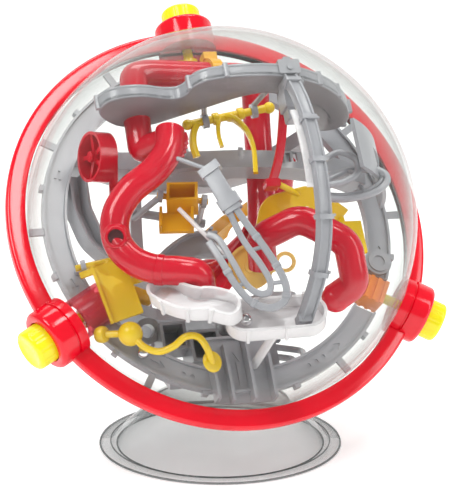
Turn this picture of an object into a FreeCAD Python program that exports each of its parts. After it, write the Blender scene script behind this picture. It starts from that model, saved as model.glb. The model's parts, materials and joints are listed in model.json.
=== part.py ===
import FreeCAD, Part
import math
import os

V = FreeCAD.Vector
os.makedirs("parts", exist_ok=True)

# ---- driving dimensions, in millimetres and degrees ----
BALL_Z = 114.8          # height of the ball's centre above the table
STAND_X = -4.87         # the stand's axis, from the middle of the whole object's footprint
STAND_Y = 0.0
TILT = 37.0             # how far the front dome's axis points upward
TURN = 20.0             # how far that axis is turned to the right
ROLL = -2.0             # turn of the ring in its own plane
DOME_R = 98.0           # outside of the clear domes
DOME_T = 2.0            # dome wall
FLANGE_R = 103.0        # rim flange of each dome, clamped by the ring
SEAM = 0.1              # each dome stops this far from the seam plane
RING_R = 108.0          # outside of the red ring
RING_IN = 98.6          # inside of the red ring
RING_H = 3.0            # thickness of one ring half
HOUSING_R = 15.0        # knob housing
HOUSING_OUT = 113.0
KNOB_R = 10.0
KNOB_OUT = 122.0
SHAFT_R = 2.5
KNOB_ANGLES = {"top": 90.0, "left": 210.0, "right": 330.0}
SCREW_ANGLES = (30, 60, 120, 150, 240, 270, 300, 180, 0)
TRACK_IN, TRACK_OUT = 78.0, 90.0
INNER_LIMIT = 95.6      # nothing inside the ball reaches further out
TUBE_R = 7.0            # outside of the red tubes
TUBE_T = 1.5
MARBLE_R = 3.175        # quarter-inch steel ball
STAND_R = 62.0
STAND_RIM_R = 33.4
SEAT_GAP = 0.25

X, Y, Z = V(1, 0, 0), V(0, 1, 0), V(0, 0, 1)
O = V(0, 0, 0)


# ---- paths and sections ----
def unit(v):
    """The vector at length one."""
    w = V(v)
    w.normalize()
    return w


def corner(a, b, c, bend):
    """Arc that rounds the corner b between runs a-b and b-c, with its two ends."""
    u, w = unit(a - b), unit(c - b)
    half = u.getAngle(w) / 2
    reach = min(bend / math.tan(half), 0.48 * min((a - b).Length, (c - b).Length))
    r = reach * math.tan(half)
    p, q = b + u * reach, b + w * reach
    mid = b + unit(u + w) * (r / math.sin(half) - r)
    return p, Part.Arc(p, mid, q).toShape(), q


def route(pts, bend):
    """Straight runs through the points, joined by tangent arcs."""
    pts = [V(*p) for p in pts]
    edges, start = [], pts[0]
    for a, b, c in zip(pts, pts[1:], pts[2:]):
        p, arc, q = corner(a, b, c, bend)
        edges.append(Part.LineSegment(start, p).toShape())
        edges.append(arc)
        start = q
    edges.append(Part.LineSegment(start, pts[-1]).toShape())
    return Part.Wire(edges)


def outline(pts, bend):
    """Closed flat outline with rounded corners."""
    pts = [V(*p) for p in pts]
    n = len(pts)
    bits = [corner(pts[i - 1], pts[i], pts[(i + 1) % n], bend) for i in range(n)]
    edges = []
    for i in range(n):
        edges.append(bits[i][1])
        edges.append(Part.LineSegment(bits[i][2], bits[(i + 1) % n][0]).toShape())
    return Part.Wire(edges)


def start_of(wire):
    """First point and first direction of a path."""
    e = wire.OrderedEdges[0]
    p = wire.OrderedVertexes[0].Point
    near = (e.valueAt(e.FirstParameter) - p).Length < 1e-6
    t = e.tangentAt(e.FirstParameter) if near else e.tangentAt(e.LastParameter) * -1
    return p, unit(t)


def sweep(path, section, normal=None):
    """Solid made by carrying a section along a path."""
    mk = Part.BRepOffsetAPI.MakePipeShell(path)
    if normal is not None:
        mk.setBiNormalMode(normal)
    mk.add(section, False, False)
    mk.build()
    mk.makeSolid()
    return mk.shape()


def tube(pts, bend, ro, ri=0.0):
    """Round tube or rod along straight runs and arcs."""
    path = route(pts, bend)
    p, t = start_of(path)
    solid = sweep(path, Part.Wire([Part.makeCircle(ro, p, t)]))
    if ri:
        solid = solid.cut(sweep(path, Part.Wire([Part.makeCircle(ri, p, t)])))
    return solid


def section(path, normal, flat):
    """Flat section placed at the start of a path: flat points are (side, up)."""
    p, t = start_of(path)
    side = unit(normal.cross(t))
    up = unit(t.cross(side))
    pts = [p + side * a + up * b for a, b in flat]
    return Part.makePolygon(pts + [pts[0]])


def rail(pts, bend, w, h, normal):
    """Bar of w by h along a flat path whose plane has this normal."""
    n = unit(V(*normal))
    path = route(pts, bend)
    flat = [(-w / 2, -h / 2), (w / 2, -h / 2), (w / 2, h / 2), (-w / 2, h / 2)]
    return sweep(path, section(path, n, flat), n)


def channel(pts, bend, w, h, t, normal):
    """Open trough: a floor of width w with two walls of height h."""
    n = unit(V(*normal))
    path = route(pts, bend)
    a = w / 2
    flat = [(-a, 0), (a, 0), (a, h), (a - t, h), (a - t, t), (t - a, t), (t - a, h), (-a, h)]
    return sweep(path, section(path, n, flat), n)


def bow(x, r, a0, a1, w, h):
    """Curved bar in a plane across the ball at x: w across, h in depth, angles up from front."""
    pts = [V(x, r * math.sin(math.radians(a)), r * math.cos(math.radians(a)))
           for a in (a0, (a0 + a1) / 2, a1)]
    path = Part.Wire([Part.Arc(*pts).toShape()])
    flat = [(-h / 2, -w / 2), (h / 2, -w / 2), (h / 2, w / 2), (-h / 2, w / 2)]
    return sweep(path, section(path, X, flat), X)


# ---- plain solids ----
def box(x0, x1, y0, y1, z0, z1):
    return Part.makeBox(x1 - x0, y1 - y0, z1 - z0, V(x0, y0, z0))


def cyl(r, p, axis, length):
    return Part.makeCylinder(r, length, V(*p), unit(V(*axis)))


def pin(p, q, r):
    """Round pin from p to q."""
    a, b = V(*p), V(*q)
    return Part.makeCylinder(r, (b - a).Length, a, unit(b - a))


def spun(pts, origin=(0, 0, 0), axis=(0, 0, 1)):
    """Turned solid: pts are (radius, height) round +Z, then laid along an axis."""
    wire = Part.makePolygon([V(r, 0, h) for r, h in pts] + [V(pts[0][0], 0, pts[0][1])])
    solid = Part.Face(wire).revolve(O, Z, 360)
    return laid(solid, origin, axis)


def laid(shape, origin, axis, x=None):
    """Move a shape made round +Z so that its +Z lies along an axis at an origin."""
    if x is None:
        rot = FreeCAD.Rotation(Z, unit(V(*axis)))
    else:
        rot = FreeCAD.Rotation(V(*x), O, V(*axis), "ZXY")
    s = shape.copy()
    s.Placement = FreeCAD.Placement(V(*origin), rot).multiply(s.Placement)
    return s


def joined(shapes):
    """One solid from touching or overlapping pieces."""
    s = shapes[0].multiFuse(shapes[1:])
    return s.removeSplitter()


def about(angle, shape):
    """Turn a shape about the ball's front axis."""
    s = shape.copy()
    s.rotate(O, Z, angle)
    return s


def within(shape, r=INNER_LIMIT):
    """Keep what lies inside a sphere about the ball's centre."""
    return shape.common(Part.makeSphere(r))


def cleared(shape, others, least=0.0):
    """Cut the room of other pieces out of this one; keep its main solid, or all above a least volume."""
    for other in others:
        if shape.BoundBox.intersect(other.BoundBox):
            if shape.common(other).Volume > 1e-4:
                shape = shape.cut(other)
    if least:
        return Part.makeCompound([s for s in shape.Solids if s.Volume > least])
    return max(shape.Solids, key=lambda s: s.Volume)


# ---- stand ----
def stand():
    """Clear cone with a flat foot ring and a seat that follows the dome."""
    profile = [(52.6, 0), (STAND_R, 0), (STAND_R, 1.6), (55.6, 1.9), (36.2, 20.2), (STAND_RIM_R + 1.6, 22.0),
               (STAND_RIM_R + 1.6, 24.0), (STAND_RIM_R - 1.6, 24.0), (STAND_RIM_R - 1.6, 21.6), (34.0, 19.4)]
    seat = Part.makeSphere(DOME_R + SEAT_GAP, V(0, 0, BALL_Z))
    cone = spun(profile).cut(seat)
    cone.translate(V(STAND_X, STAND_Y, 0))
    return cone


# ---- shell: domes, ring, housings ----
def track_tabs():
    """Tabs of the ring track, held between the two dome rims."""
    return [about(a, box(TRACK_OUT - 1.5, 97.2, -1.8, 1.8, -0.8, 0.8)) for a in (32, 62, 118, 150, 238, 302,
            0, 180)]


def shaft_rooms(r):
    return [about(a, pin((88, 0, 0), (112, 0, 0), r)) for a in KNOB_ANGLES.values()]


def dome(side):
    """Half shell with a rim flange; side is 1 for the front and -1 for the rear."""
    shell = Part.makeSphere(DOME_R).cut(Part.makeSphere(DOME_R - DOME_T))
    shell = shell.common(box(-110, 110, -110, 110, SEAM, 110))
    rim = spun([(DOME_R - 1.5, SEAM), (FLANGE_R, SEAM), (FLANGE_R, 1.4), (DOME_R - 1.5, 1.4)])
    half = joined([shell, rim])
    if side < 0:
        half.rotate(O, X, 180)
    for tool in track_tabs() + shaft_rooms(SHAFT_R + 0.6):
        half = half.cut(tool)
    for a in SCREW_ANGLES:
        half = half.cut(about(a, pin((105.6, 0, -4), (105.6, 0, 4), 1.5)))
    return half


def ring_half(side):
    """Red clamp ring with a round outer edge and a step that takes the dome flanges."""
    arc = [(RING_R - 1.8 + 1.8 * math.cos(math.radians(a)), RING_H - 1.8 + 1.8 * math.sin(math.radians(a)))
           for a in range(0, 91, 15)]
    pts = [(FLANGE_R + 0.3, 0), (RING_R, 0)] + arc + [(RING_IN, RING_H), (RING_IN, 1.5), (FLANGE_R + 0.3,
                                                      1.5)]
    half = spun(pts)
    if side < 0:
        half.rotate(O, X, 180)
    for a in KNOB_ANGLES.values():
        half = half.cut(about(a, pin((90, 0, 0), (125, 0, 0), HOUSING_R)))
    depth = (-4, 2.0) if side > 0 else (-4, 4)
    for a in SCREW_ANGLES:
        half = half.cut(about(a, pin((105.6, 0, depth[0]), (105.6, 0, depth[1]), 0.9)))
        if side < 0:
            half = half.cut(about(a, pin((105.6, 0, -4), (105.6, 0, -1.8), 1.7)))
    return half


def ring_screws():
    """Small screws, driven from the rear through both ring halves."""
    one = joined([pin((105.6, 0, -2.9), (105.6, 0, -1.8), 1.7), pin((105.6, 0, -1.8), (105.6, 0, 2.0), 0.9)])
    one = one.cut(box(104.4, 106.8, -0.2, 0.2, -3.2, -2.3)).cut(box(105.4, 105.8, -1.2, 1.2, -3.2, -2.3))
    return Part.makeCompound([about(a, one) for a in SCREW_ANGLES])


def housing(angle):
    """Red cup on the ring's edge, with a groove near its foot and a bore for the knob."""
    r, end = HOUSING_R, HOUSING_OUT
    lip = [(r - 2.4 + 2.4 * math.cos(math.radians(a)), end - 2.4 + 2.4 * math.sin(math.radians(a)))
           for a in range(0, 91, 15)]
    pts = [(3.1, 92), (r, 92), (r, 102.0), (r - 0.9, 102.2), (r - 0.9, 103.0), (r, 103.2)] + lip
    pts += [(10.4, end), (10.4, 104.6), (3.1, 104.6)]
    cup = spun(pts, axis=(1, 0, 0))
    cup = cup.cut(Part.makeSphere(DOME_R + 0.05))
    cup = cup.cut(spun([(90, -1.45), (FLANGE_R + 0.1, -1.45), (FLANGE_R + 0.1, 1.45), (90, 1.45)]))
    return about(angle, cup)


def knob(angle):
    """Yellow push-on knob with a rounded face, grip grooves and a pointer notch."""
    pts = [(SHAFT_R, 105.0), (KNOB_R, 105.0), (KNOB_R, 119.6), (9.7, 120.8), (8.9, 121.7), (7.9, KNOB_OUT),
           (0, KNOB_OUT), (0, 116.0), (SHAFT_R, 116.0)]
    cap = spun(pts, axis=(1, 0, 0))
    for k in range(12):
        groove = pin((113.6, 0, KNOB_R + 0.25), (120.2, 0, KNOB_R + 0.25), 0.7)
        groove.rotate(O, X, 30 * k + 15)
        cap = cap.cut(groove)
    cap = cap.cut(box(120.9, 123, -0.9, 0.9, 3.0, 8.2))
    return about(angle, cap)


def shaft(angle, inner):
    return about(angle, pin((inner, 0, 0), (116.0, 0, 0), SHAFT_R))


# ---- ring track and what stands on it ----
def rotor_rooms():
    """Space swept by the three knob rotors, with a margin."""
    return [about(90, pin((74.6, 0, 0), (94.8, 0, 0), 14.2)),
            about(210, pin((73.6, 0, 0), (94.8, 0, 0), 8.6)),
            about(330, pin((73.6, 0, 0), (94.8, 0, 0), 10.2))]


def equator_track():
    """Flat grey ring with low walls, held by tabs between the domes."""
    pts = [(TRACK_IN, -3), (TRACK_OUT, -3), (TRACK_OUT, 1.6), (88.8, 1.6), (88.8, 0), (79.2, 0), (79.2, 1.6),
           (TRACK_IN, 1.6)]
    ring = joined([spun(pts)] + track_tabs())
    nubs = [about(a, box(TRACK_OUT - 0.4, 92.0, -1.5, 1.5, -2.6, 1.2)) for a in (15, 45, 135, 165, 195, 225,
            255, 285, 315, 345)]
    ring = joined([ring] + nubs)
    for a, count in ((247, 2), (292, 3), (24, 1)):
        for k in range(count):
            ring = ring.cut(about(a + 3.2 * k, pin((84, 0, -0.6), (84, 0, 1), 1.1)))
    for a in (238, 304, 40, 160, 200, 346):
        ring = ring.cut(about(a, arrow_cut()))
    return ring


def arrow_cut():
    """Shallow arrow along the track."""
    head = [V(82.0, 0.5, -0.6), V(86.0, 0.5, -0.6), V(84.0, 3.8, -0.6)]
    tip = Part.Face(Part.makePolygon(head + [head[0]])).extrude(V(0, 0, 2))
    return joined([tip, box(83.4, 84.6, -4, 0.8, -0.6, 1.4)])


def start_ramp():
    """Entry plate at the bottom of the ring, with upright ribs and an arrow."""
    plate = box(-20, 10, -95, -61, 0, 2)
    ribs = [box(x, x + 1.5, -95, y, 1.6, h) for x, y, h in ((-20, -72, 8), (-12.6, -66, 7), (-2.2, -62, 9),
                                                            (8.5, -70, 8))]
    lips = [box(-20, 10, -62.2, -61, 0, 3.6), box(-11.2, -2.2, -90, -88.8, 1.6, 4.6)]
    ramp = joined([plate] + ribs + lips)
    mark = joined([box(-7.6, -6.2, -86, -74, 1.4, 3),
                   Part.Face(Part.makePolygon([V(-9.6, -74, 1.4), V(-4.2, -74, 1.4), V(-6.9, -69, 1.4),
                                               V(-9.6, -74, 1.4)])).extrude(V(0, 0, 2))])
    return within(ramp.cut(mark))


# ---- front maze ----
DECK_Y = 44.0


def upper_deck():
    """S-shaped plate near the top, with a low wall all round, nubs and a curved arrow beneath."""
    pts = [(-66, 41), (-62, 52), (-47, 55), (-33, 50), (-25, 52), (-23, 67), (-9, 72), (10, 73), (26, 70),
           (42, 62), (57, 49), (69, 31), (72, 15), (60, 10), (49, 17), (42, 31), (30, 47), (20, 56), (6, 54),
           (-10, 42), (-24, 32), (-36, 23), (-50, 22), (-60, 30)]
    wire = outline([(x, DECK_Y, z) for x, z in pts], 5)
    plate = Part.Face(wire).extrude(V(0, 2, 0))
    inner = Part.Face(wire.makeOffset2D(-1.6)).extrude(V(0, 6.4, 0))
    wall = Part.Face(wire).extrude(V(0, 6.4, 0)).cut(inner)
    nubs = [box(x - 1.3, x + 1.3, DECK_Y, DECK_Y + 7.4, z - 1.3, z + 1.3)
            for x, z in ((-65.2, 42), (-24.2, 60), (-9, 72), (26.5, 69.6), (42, 61.6), (57, 48.6), (69, 31),
                         (71, 16))]
    deck = joined([plate, wall] + nubs)
    arrow = rail([(46, DECK_Y, 40), (56, DECK_Y, 34), (60, DECK_Y, 20)], 8, 2.0, 1.0, (0, 1, 0))
    return within(deck.cut(arrow))


def arc_rail():
    """Square beam that follows the front dome, with clips and a cranked foot."""
    beam = bow(23, 82, 34, -38.5, 6.4, 5)
    leg = rail([(23, -50.0, 65.2), (15.5, -64.0, 57.5), (14.0, -71.5, 49)], 4, 6.4, 5, (0.9, 0.1, -0.4))
    clips = [bow(23, 82, a, a - 3, 8.4, 6.4) for a in (32, 11, -14)]
    foot = box(10.5, 17.5, -73.5, -69.5, 45, 52)
    return joined([beam, leg, foot] + clips)


def deck_bracket():
    """Upright strut between the deck's front wall and the arc rail."""
    strut = joined([box(16.5, 29.5, 44, 53, 70.2, 73.2), box(18, 28, 34, 53, 66.5, 73.2),
                    box(19.5, 26.5, 27, 36, 58, 70)])
    return within(strut)


def guide_strip():
    """Thin white strip beside the arc rail."""
    return bow(17.1, 80.5, 16, -13, 5.4, 1.2)


MID_N = (0.156, 0.988, 0.0)


def mid_point(u, z):
    """Point on the mid track's floor: u along it, z toward the front."""
    return (-46 + 0.988 * u, 33 - 0.156 * u, z)


def mid_track():
    """Grey trough across the ball behind the front pieces."""
    pts = [mid_point(u, z) for u, z in ((-29, -12), (2, -8), (32, 0), (58, 8), (84, 13), (104, 12), (123, 4))]
    trough = channel(pts, 25, 13, 9.5, 1.6, MID_N)
    for k in range(3):
        x = 31 + 3.4 * k
        trough = trough.cut(box(x, x + 2.2, 23.5, 28.5, 17.6, 26))
    nubs = [laid(box(-1.2, 1.2, 0, 0.9, 6.2, 11), mid_point(u, 6.6 + z), MID_N, (0.988, -0.156, 0))
            for u, z in ((32, 0), (58, 8))]
    return cleared(joined([trough] + nubs), [])


def hairpin_rails():
    """Two bars that leave one clip, run down together and turn back at the bottom."""
    n = (-0.464, -0.140, 0.874)
    outer = rail([(-21, 4, 54), (-11, -19, 57), (1, -46, 59), (6, -64, 57), (-5, -67, 52), (-16, -52, 49),
                  (-27, -26, 46)], 9, 3.2, 3.6, n)
    inner = rail([(-23.5, 1, 52.3), (-15, -22, 54.6), (-5, -44, 55.8), (-1.5, -57, 55.6), (-8, -59, 51.6),
                  (-13, -51, 50), (-18, -40, 48.6)], 5, 3.0, 3.4, n)
    bar = rail([(-23.2, 5, 53.6), (-13.4, -19, 56.2)], 1, 8.4, 3.4, n)
    clip = rail([(-24.4, 8.2, 53.2), (-22.4, 3.2, 53.9)], 1, 10.5, 5.2, n)
    ties = [pin(a, b, 1.1) for a, b in (((-2.6, -38, 58.4), (-7.6, -38.6, 55.4)), ((3.4, -56, 57.8), (-2.2,
            -54, 55.8)),
                                        ((-16.6, -51, 48.9), (-13, -51, 50)), ((-22, -38, 47.2), (-18.2,
                                                -39.6, 48.6)))]
    return joined([outer, inner, bar, clip] + ties)


def thin_arm():
    """Slim arm from the hairpin's clip to the S tube."""
    return joined([pin((-24, 5, 54.6), (-37.5, 17, 46.8), 1.3), pin((-38.4, 17.8, 46.2), (-36.4, 16.0, 47.4),
                                                                    2.2)])


def white_rod():
    """Thin white rod behind the hairpin."""
    return pin((-33, -8, 38), (-18.0, -37, 48.0), 1.1)


S_PTS = [(-31, 30, 45), (-37, 11, 44), (-62, -3, 36), (-67, -24, 30), (-55, -40, 34), (-27, -40, 42),
         (-25, -53, 28)]


def s_tube():
    """Red S-shaped tube with a collared side hole and a toothed edge near its top."""
    body = tube(S_PTS, 11, TUBE_R, TUBE_R - TUBE_T)
    collar_axis = unit(V(-0.319, -0.367, 0.874))
    c = V(-63.5, -22, 32)
    collar = Part.makeCylinder(5.6, 4, c + collar_axis * 4.6, collar_axis)
    body = joined([body, collar]).cut(Part.makeCylinder(4.1, 12, c, collar_axis))
    band = tube([(-48.6, -40, 36), (-45.4, -40, 37)], 1, TUBE_R + 0.5, TUBE_R - TUBE_T)
    teeth = [box(-27.6, -23.8, 25 - 2.4 * k, 26.2 - 2.4 * k, 44.5, 49.5) for k in range(5)]
    core = tube(S_PTS, 11, TUBE_R - TUBE_T)
    return joined([body, band] + teeth).cut(core)


def bent_inlet():
    """Red elbow below the deck that drops into the S tube, with a flared mouth."""
    pts = [(-43, 46, 29), (-43, 28.5, 27.8), (-33, 27.8, 39)]
    elbow = tube(pts, 7.2, TUBE_R - 0.5)
    flare = spun([(0, -4.4), (TUBE_R + 0.2, -4.4), (TUBE_R + 1.2, -3.2), (TUBE_R + 1.2, 0), (0, 0)],
                 pts[2], (10, -0.7, 11.2))
    return joined([elbow, flare]).cut(tube(pts, 7.2, TUBE_R - 2))


def top_tube():
    """Red tube over the deck: up from its left lobe, across, and down to the column."""
    pts = [(-43, 46, 29), (-40, 71.5, 27), (27, 73, 17), (27.5, 56, 8)]
    return tube(pts, 12, TUBE_R, TUBE_R - TUBE_T)


def tube_band():
    """Yellow band round the top tube."""
    ring = spun([(TUBE_R, -3), (TUBE_R + 1.8, -3), (TUBE_R + 1.8, 3), (TUBE_R, 3)], (3, 72.46, 20.6), (0.989,
                0.022, -0.148))
    ear = box(-0.5, 6.5, 80.6, 84.5, 17, 24)
    return joined([ring, ear]).cut(tube([(-20, 71.95, 24.0), (20, 72.85, 18.04)], 1, TUBE_R))


def column():
    """Upright red tube from the top tube's end down to the mid track."""
    return tube([(27.5, 56, 8), (27.5, 20, -6), (24, -2, -8)], 10, TUBE_R - 0.8, TUBE_R - 2)


def red_chute():
    """Slanted red trough in the middle of the ball."""
    return channel([(24, 1, -8), (14, -14, -2), (-2, -30, 4), (-12, -40, 6)], 12, 12, 5, 1.5, (-0.5, 0.45,
                   0.74))


def red_strip():
    """Narrow curved red strip hung from the bracket, with a foot."""
    strip = rail([(22.5, 36, 58), (22.5, 30, 49), (20, 19, 43.5), (16.5, 5, 37)], 9, 2.2, 5.0, (0.95, -0.2,
                 -0.25))
    foot = box(12.5, 20.5, 1, 5.5, 33.5, 40)
    return joined([strip, foot])


def strip_peg():
    """Yellow peg in the red strip's foot."""
    return pin((20.5, 3.2, 36.5), (31, -1.0, 33), 1.5)


def arch_tube():
    """Red arched tube at the lower right, with a bulb end."""
    pts = [(7, -36, 28), (5, -25, 38), (21, -22, 52), (41, -37, 55), (44, -55, 47), (36, -58, 37)]
    body = tube(pts, 10, TUBE_R, TUBE_R - TUBE_T)
    return body.cut(tube(pts, 10, TUBE_R - TUBE_T))


def s_tray():
    """Milky trough that leads from the S tube's foot into the lower tray."""
    pts = [(-46, -40, 27), (-45, -52, 33), (-30, -59, 40), (-14, -66.5, 43.5)]
    n = (-0.35, 0.42, 0.84)
    trough = channel(pts, 9, 15, 8, 1.3, n)
    end = laid(Part.makeCylinder(7.5, 8).cut(Part.makeCylinder(6.2, 8, V(0, 0, 1.3))), (-46, -40, 27), n)
    core = channel([(p[0], p[1], p[2]) for p in pts], 9, 12.4, 8, 0.001, n)
    end = end.cut(laid(box(-6.2, 6.2, -12, 0, 1.3, 9), (-46, -40, 27), n, (1, 0, 0.4)))
    return within(joined([trough, end]))


TRAY_O = V(3.5, -69.5, 39.0)
TRAY_N = unit(V(-0.206, 0.328, 0.921))
TRAY_X = unit(V(0.995, -0.09, 0.25))


def in_tray(shape):
    """Lay a shape made flat on XY into the lower tray's place."""
    x = unit(TRAY_X - TRAY_N * TRAY_X.dot(TRAY_N))
    s = shape.copy()
    s.Placement = FreeCAD.Placement(TRAY_O, FreeCAD.Rotation(x, O, TRAY_N, "ZXY")).multiply(s.Placement)
    return s


def pill(length, r, z0, h):
    """Flat pill: a bar with round ends."""
    mid = box(-length / 2, length / 2, -r, r, z0, z0 + h)
    ends = [Part.makeCylinder(r, h, V(s * length / 2, 0, z0)) for s in (-1, 1)]
    return joined([mid] + ends)


def pill_tray():
    """Milky tray with round ends and an open top, where one steel ball rolls."""
    tray = pill(28, 9.6, 0, 8.5).cut(pill(28, 8.3, 1.3, 8))
    nubs = [box(x - 1, x + 1, y - 0.8, y + 0.8, 0, 9.4) for x, y in ((-14, -9.8), (4, -9.8), (14, 9.8), (-6,
            9.8))]
    return within(in_tray(joined([tray] + [n.cut(pill(28, 8.3, 1.3, 9)) for n in nubs])))


def tray_post():
    """Post that carries the lower tray from the ring track."""
    return pin((3, -76.5, -2), (3, -72.5, 38.8), 2.2)


def s_rod():
    """Yellow balancing rod: cup end, round bulb, S-shaped wire and paddle."""
    rod = tube([(-72, -55, 4), (-58, -60, 12), (-52, -69, 15), (-42, -72, 20), (-36, -64, 26), (-26, -67, 27),
                (-23, -78, 18)], 5, 1.6)
    bulb = Part.makeSphere(5.8, V(-59, -59.6, 12))
    cup = pin((-74, -54, 2.5), (-70, -55.5, 5.5), 4.0)
    paddle = pin((-24.2, -76.5, 17.5), (-21.8, -77.5, 20), 5.4)
    post = pin((-59, -59.6, 12), (-57, -57.6, -1), 1.8)
    return joined([rod, bulb, cup, paddle, post])


def left_trough():
    """Grey trough down the left side, inside the ring track."""
    pts = [(-71, 33, -9), (-71, 14, -10), (-67, -4, -8), (-55, -20, -5), (-38, -30, -2)]
    return channel(pts, 18, 11, 8, 1.5, (0.35, 0.1, 0.93))


def tube_mouth():
    """Dark grey upright tube mouth at the lower left."""
    return spun([(3.4, -16), (5.4, -16), (5.4, 0), (6.4, 0), (6.4, 1.6), (3.4, 1.6)], (-44, -51, -9), (-0.2,
                -0.3, 0.93))


def lower_boxes():
    """Grey step boxes behind the lower trays."""
    a = box(-40, -27, -64, -50, -14, -1).cut(box(-38.5, -28.5, -62.5, -51.5, -12, 0))
    b = box(-27, -12, -72, -56, -14, 2).cut(box(-25.5, -13.5, -70.5, -57.5, -12, 3))
    c = box(-40, -12, -60, -57, -16, -12)
    return joined([a, b, c])


def lower_cups():
    """Two grey cups at the bottom of the maze."""
    cups = []
    for p, r in (((-2, -52, -8), 7.5), ((16, -57, -6), 6.5)):
        cups.append(spun([(0, 0), (r, 0), (r, 9), (r - 1.4, 9), (r - 1.4, 1.4), (0, 1.4)], p, (0, 0.25,
                    0.97)))
    bar = box(-4, 22, -62, -59, -9, -6)
    arms = [box(-3, 3, -64, -54, -10, -6.5), box(14, 18, -79, -58, -9, -3)]
    return joined(cups + [bar] + arms)


def spiral_rails():
    """Two looped rods at the right, one above the other."""
    low = tube([(40, -6, 45), (58, -7, 50), (69, -4, 52), (70, 4, 50), (54, 6, 45), (42, 6, 43)], 5, 1.6)
    high = tube([(46, -13, 45), (64, -12, 45), (74, -2, 46), (69, 8, 44), (55, 9, 41)], 6, 1.6)
    ties = [pin((58, -7, 50), (58, -12.5, 45), 1.3), pin((69.6, 3, 50.4), (71.5, 2.6, 45), 1.3)]
    return joined([low, high] + ties)


def back_plate():
    """Grey curved wall at the right, behind the looped rods."""
    wall = Part.makeCylinder(84, 26, V(0, -2, 0), Y).cut(Part.makeCylinder(82, 26, V(0, -2, 0), Y))
    wedge = Part.Face(Part.makePolygon([O, V(120, 0, 20), V(76, 0, 92), O])).extrude(V(0, 40, 0))
    wedge.translate(V(0, -6, 0))
    wall = wall.common(wedge)
    window = Part.makeCylinder(100, 9, V(0, 6, 0), Y).common(wedge).common(box(62, 90, 0, 30, 28, 50))
    hook = box(66, 76.5, 12, 22, 20, 36)
    return within(joined([wall.cut(window)]), 91)


def round_plate():
    """Round grey pad on the ring track at the right."""
    return spun([(0, 0), (7, 0), (7, 2), (5.6, 2), (5.6, 2.8), (3, 2.8), (3, 2), (0, 2)], (79.5, -26, 0.0),
                (0, 0, 1))


def cradle():
    """Clear yellow cradle in the middle right."""
    side = rail([(13, -19, 20), (17, -4, 28), (36, -2, 34), (52, -13, 30)], 7, 10, 1.6, (0.2, 0.55, -0.6))
    return side


def far_flap():
    """Yellow flap at the right, below the looped rods."""
    plate = box(50, 63, -31, -14, 25, 27.4)
    wall = box(50, 52, -31, -14, 25, 33)
    return joined([plate, wall])


def yellow_disc():
    """Yellow dished disc behind the hairpin rails."""
    return spun([(0, 0), (11, 0), (11, 3.4), (9.6, 3.4), (9.6, 1.6), (3, 1.6), (3, 4.2), (0, 4.2)], (5, -31,
                16), (-0.2, -0.25, 0.94))


def yellow_ring():
    """Small yellow hoop on a peg."""
    hoop = laid(Part.makeTorus(4.2, 1.0), (23, -30, 18), (-0.319, -0.367, 0.874))
    return joined([hoop, pin((19.4, -32.0, 16.2), (13, -34.5, 16.5), 1.2)])


# ---- moving pieces inside ----
WHEEL_C = V(-64, 28, 23)
WHEEL_N = unit(V(-0.97, -0.02, 0.24))
LEVER_A, LEVER_B = (24, 46, 35), (-17, 42, 27)
GATE_A, GATE_B = (-80, -24, 10), (-49, -22, 19)
BUCKET_A, BUCKET_B = (-38, 6, 24), (-14, 0, 27)


def wheel_drum():
    """Red drum with a rim and star spokes, free to turn on its axle."""
    rim = Part.makeCylinder(12.3, 9).cut(Part.makeCylinder(10.9, 9))
    web = Part.makeCylinder(11.1, 1.4)
    spokes = [box(2.0, 11.1, -1.1, 1.1, 0.6, 6.4) for k in range(5)]
    for k, s in enumerate(spokes):
        s.rotate(O, Z, 72 * k)
    hub = Part.makeCylinder(3.2, 7.4)
    drum = joined([rim, web, hub] + spokes).cut(Part.makeCylinder(1.55, 12, V(0, 0, -0.5)))
    return laid(drum, WHEEL_C - WHEEL_N * 4.5, WHEEL_N, (0, 0.24, 0.02))


def wheel_axle():
    """Fixed axle and arm that carry the star wheel from the left trough."""
    axle = Part.makeCylinder(1.5, 13.6, WHEEL_C - WHEEL_N * 9.0, WHEEL_N)
    cap = Part.makeCylinder(2.6, 1.2, WHEEL_C + WHEEL_N * 3.3, WHEEL_N)
    start = WHEEL_C - WHEEL_N * 8.4
    arm = pin((start.x, start.y, start.z), (-52, 14, -2), 2.4)
    blade = rail([(-54, 16, 6), (-53, 4, 9)], 1, 7, 2.0, (-0.97, -0.02, 0.24))
    return joined([axle, cap, arm, blade])


def branch_lever():
    """Yellow rocking lever: a round bar with three legs and a curved blade."""
    bar = pin(LEVER_A, LEVER_B, 2.0)
    leg = rail([(-12, 42.5, 28), (-16, 33, 27), (-15, 24, 26)], 3, 3.0, 3.0, (0.2, 0, 1))
    blade = rail([(3, 44.3, 31), (9, 33, 36), (11, 21, 37), (10, 10, 35)], 9, 2.4, 4.6, (-0.35, 0.1, 0.9))
    mid = rail([(-1, 43.6, 30.4), (-3.5, 36, 31), (-3, 27, 31)], 5, 2.0, 3.2, (-0.35, 0.1, 0.9))
    knobs = [Part.makeSphere(2.9, V(*LEVER_A)), Part.makeSphere(2.7, V(*LEVER_B))]
    return joined([bar, leg, blade, mid] + knobs)


def lever_hangers():
    """Two grey eyes under the deck that hold the lever's bar."""
    d = unit(V(*LEVER_B) - V(*LEVER_A))
    eyes = []
    for k, foot in ((8, (16.5, 45, 57)), (33, (-12.5, 45, 43))):
        c = V(*LEVER_A) + d * k
        ring = Part.makeCylinder(3.6, 3, c - d * 1.5, d)
        arm = pin((c.x, c.y + 2.6, c.z), foot, 1.4)
        eyes.append((ring, arm, c))
    shapes = []
    for ring, arm, c in eyes:
        eye = joined([ring, arm]).cut(Part.makeCylinder(2.05, 10, c - d * 5, d))
        shapes.append(eye)
    return shapes


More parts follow.
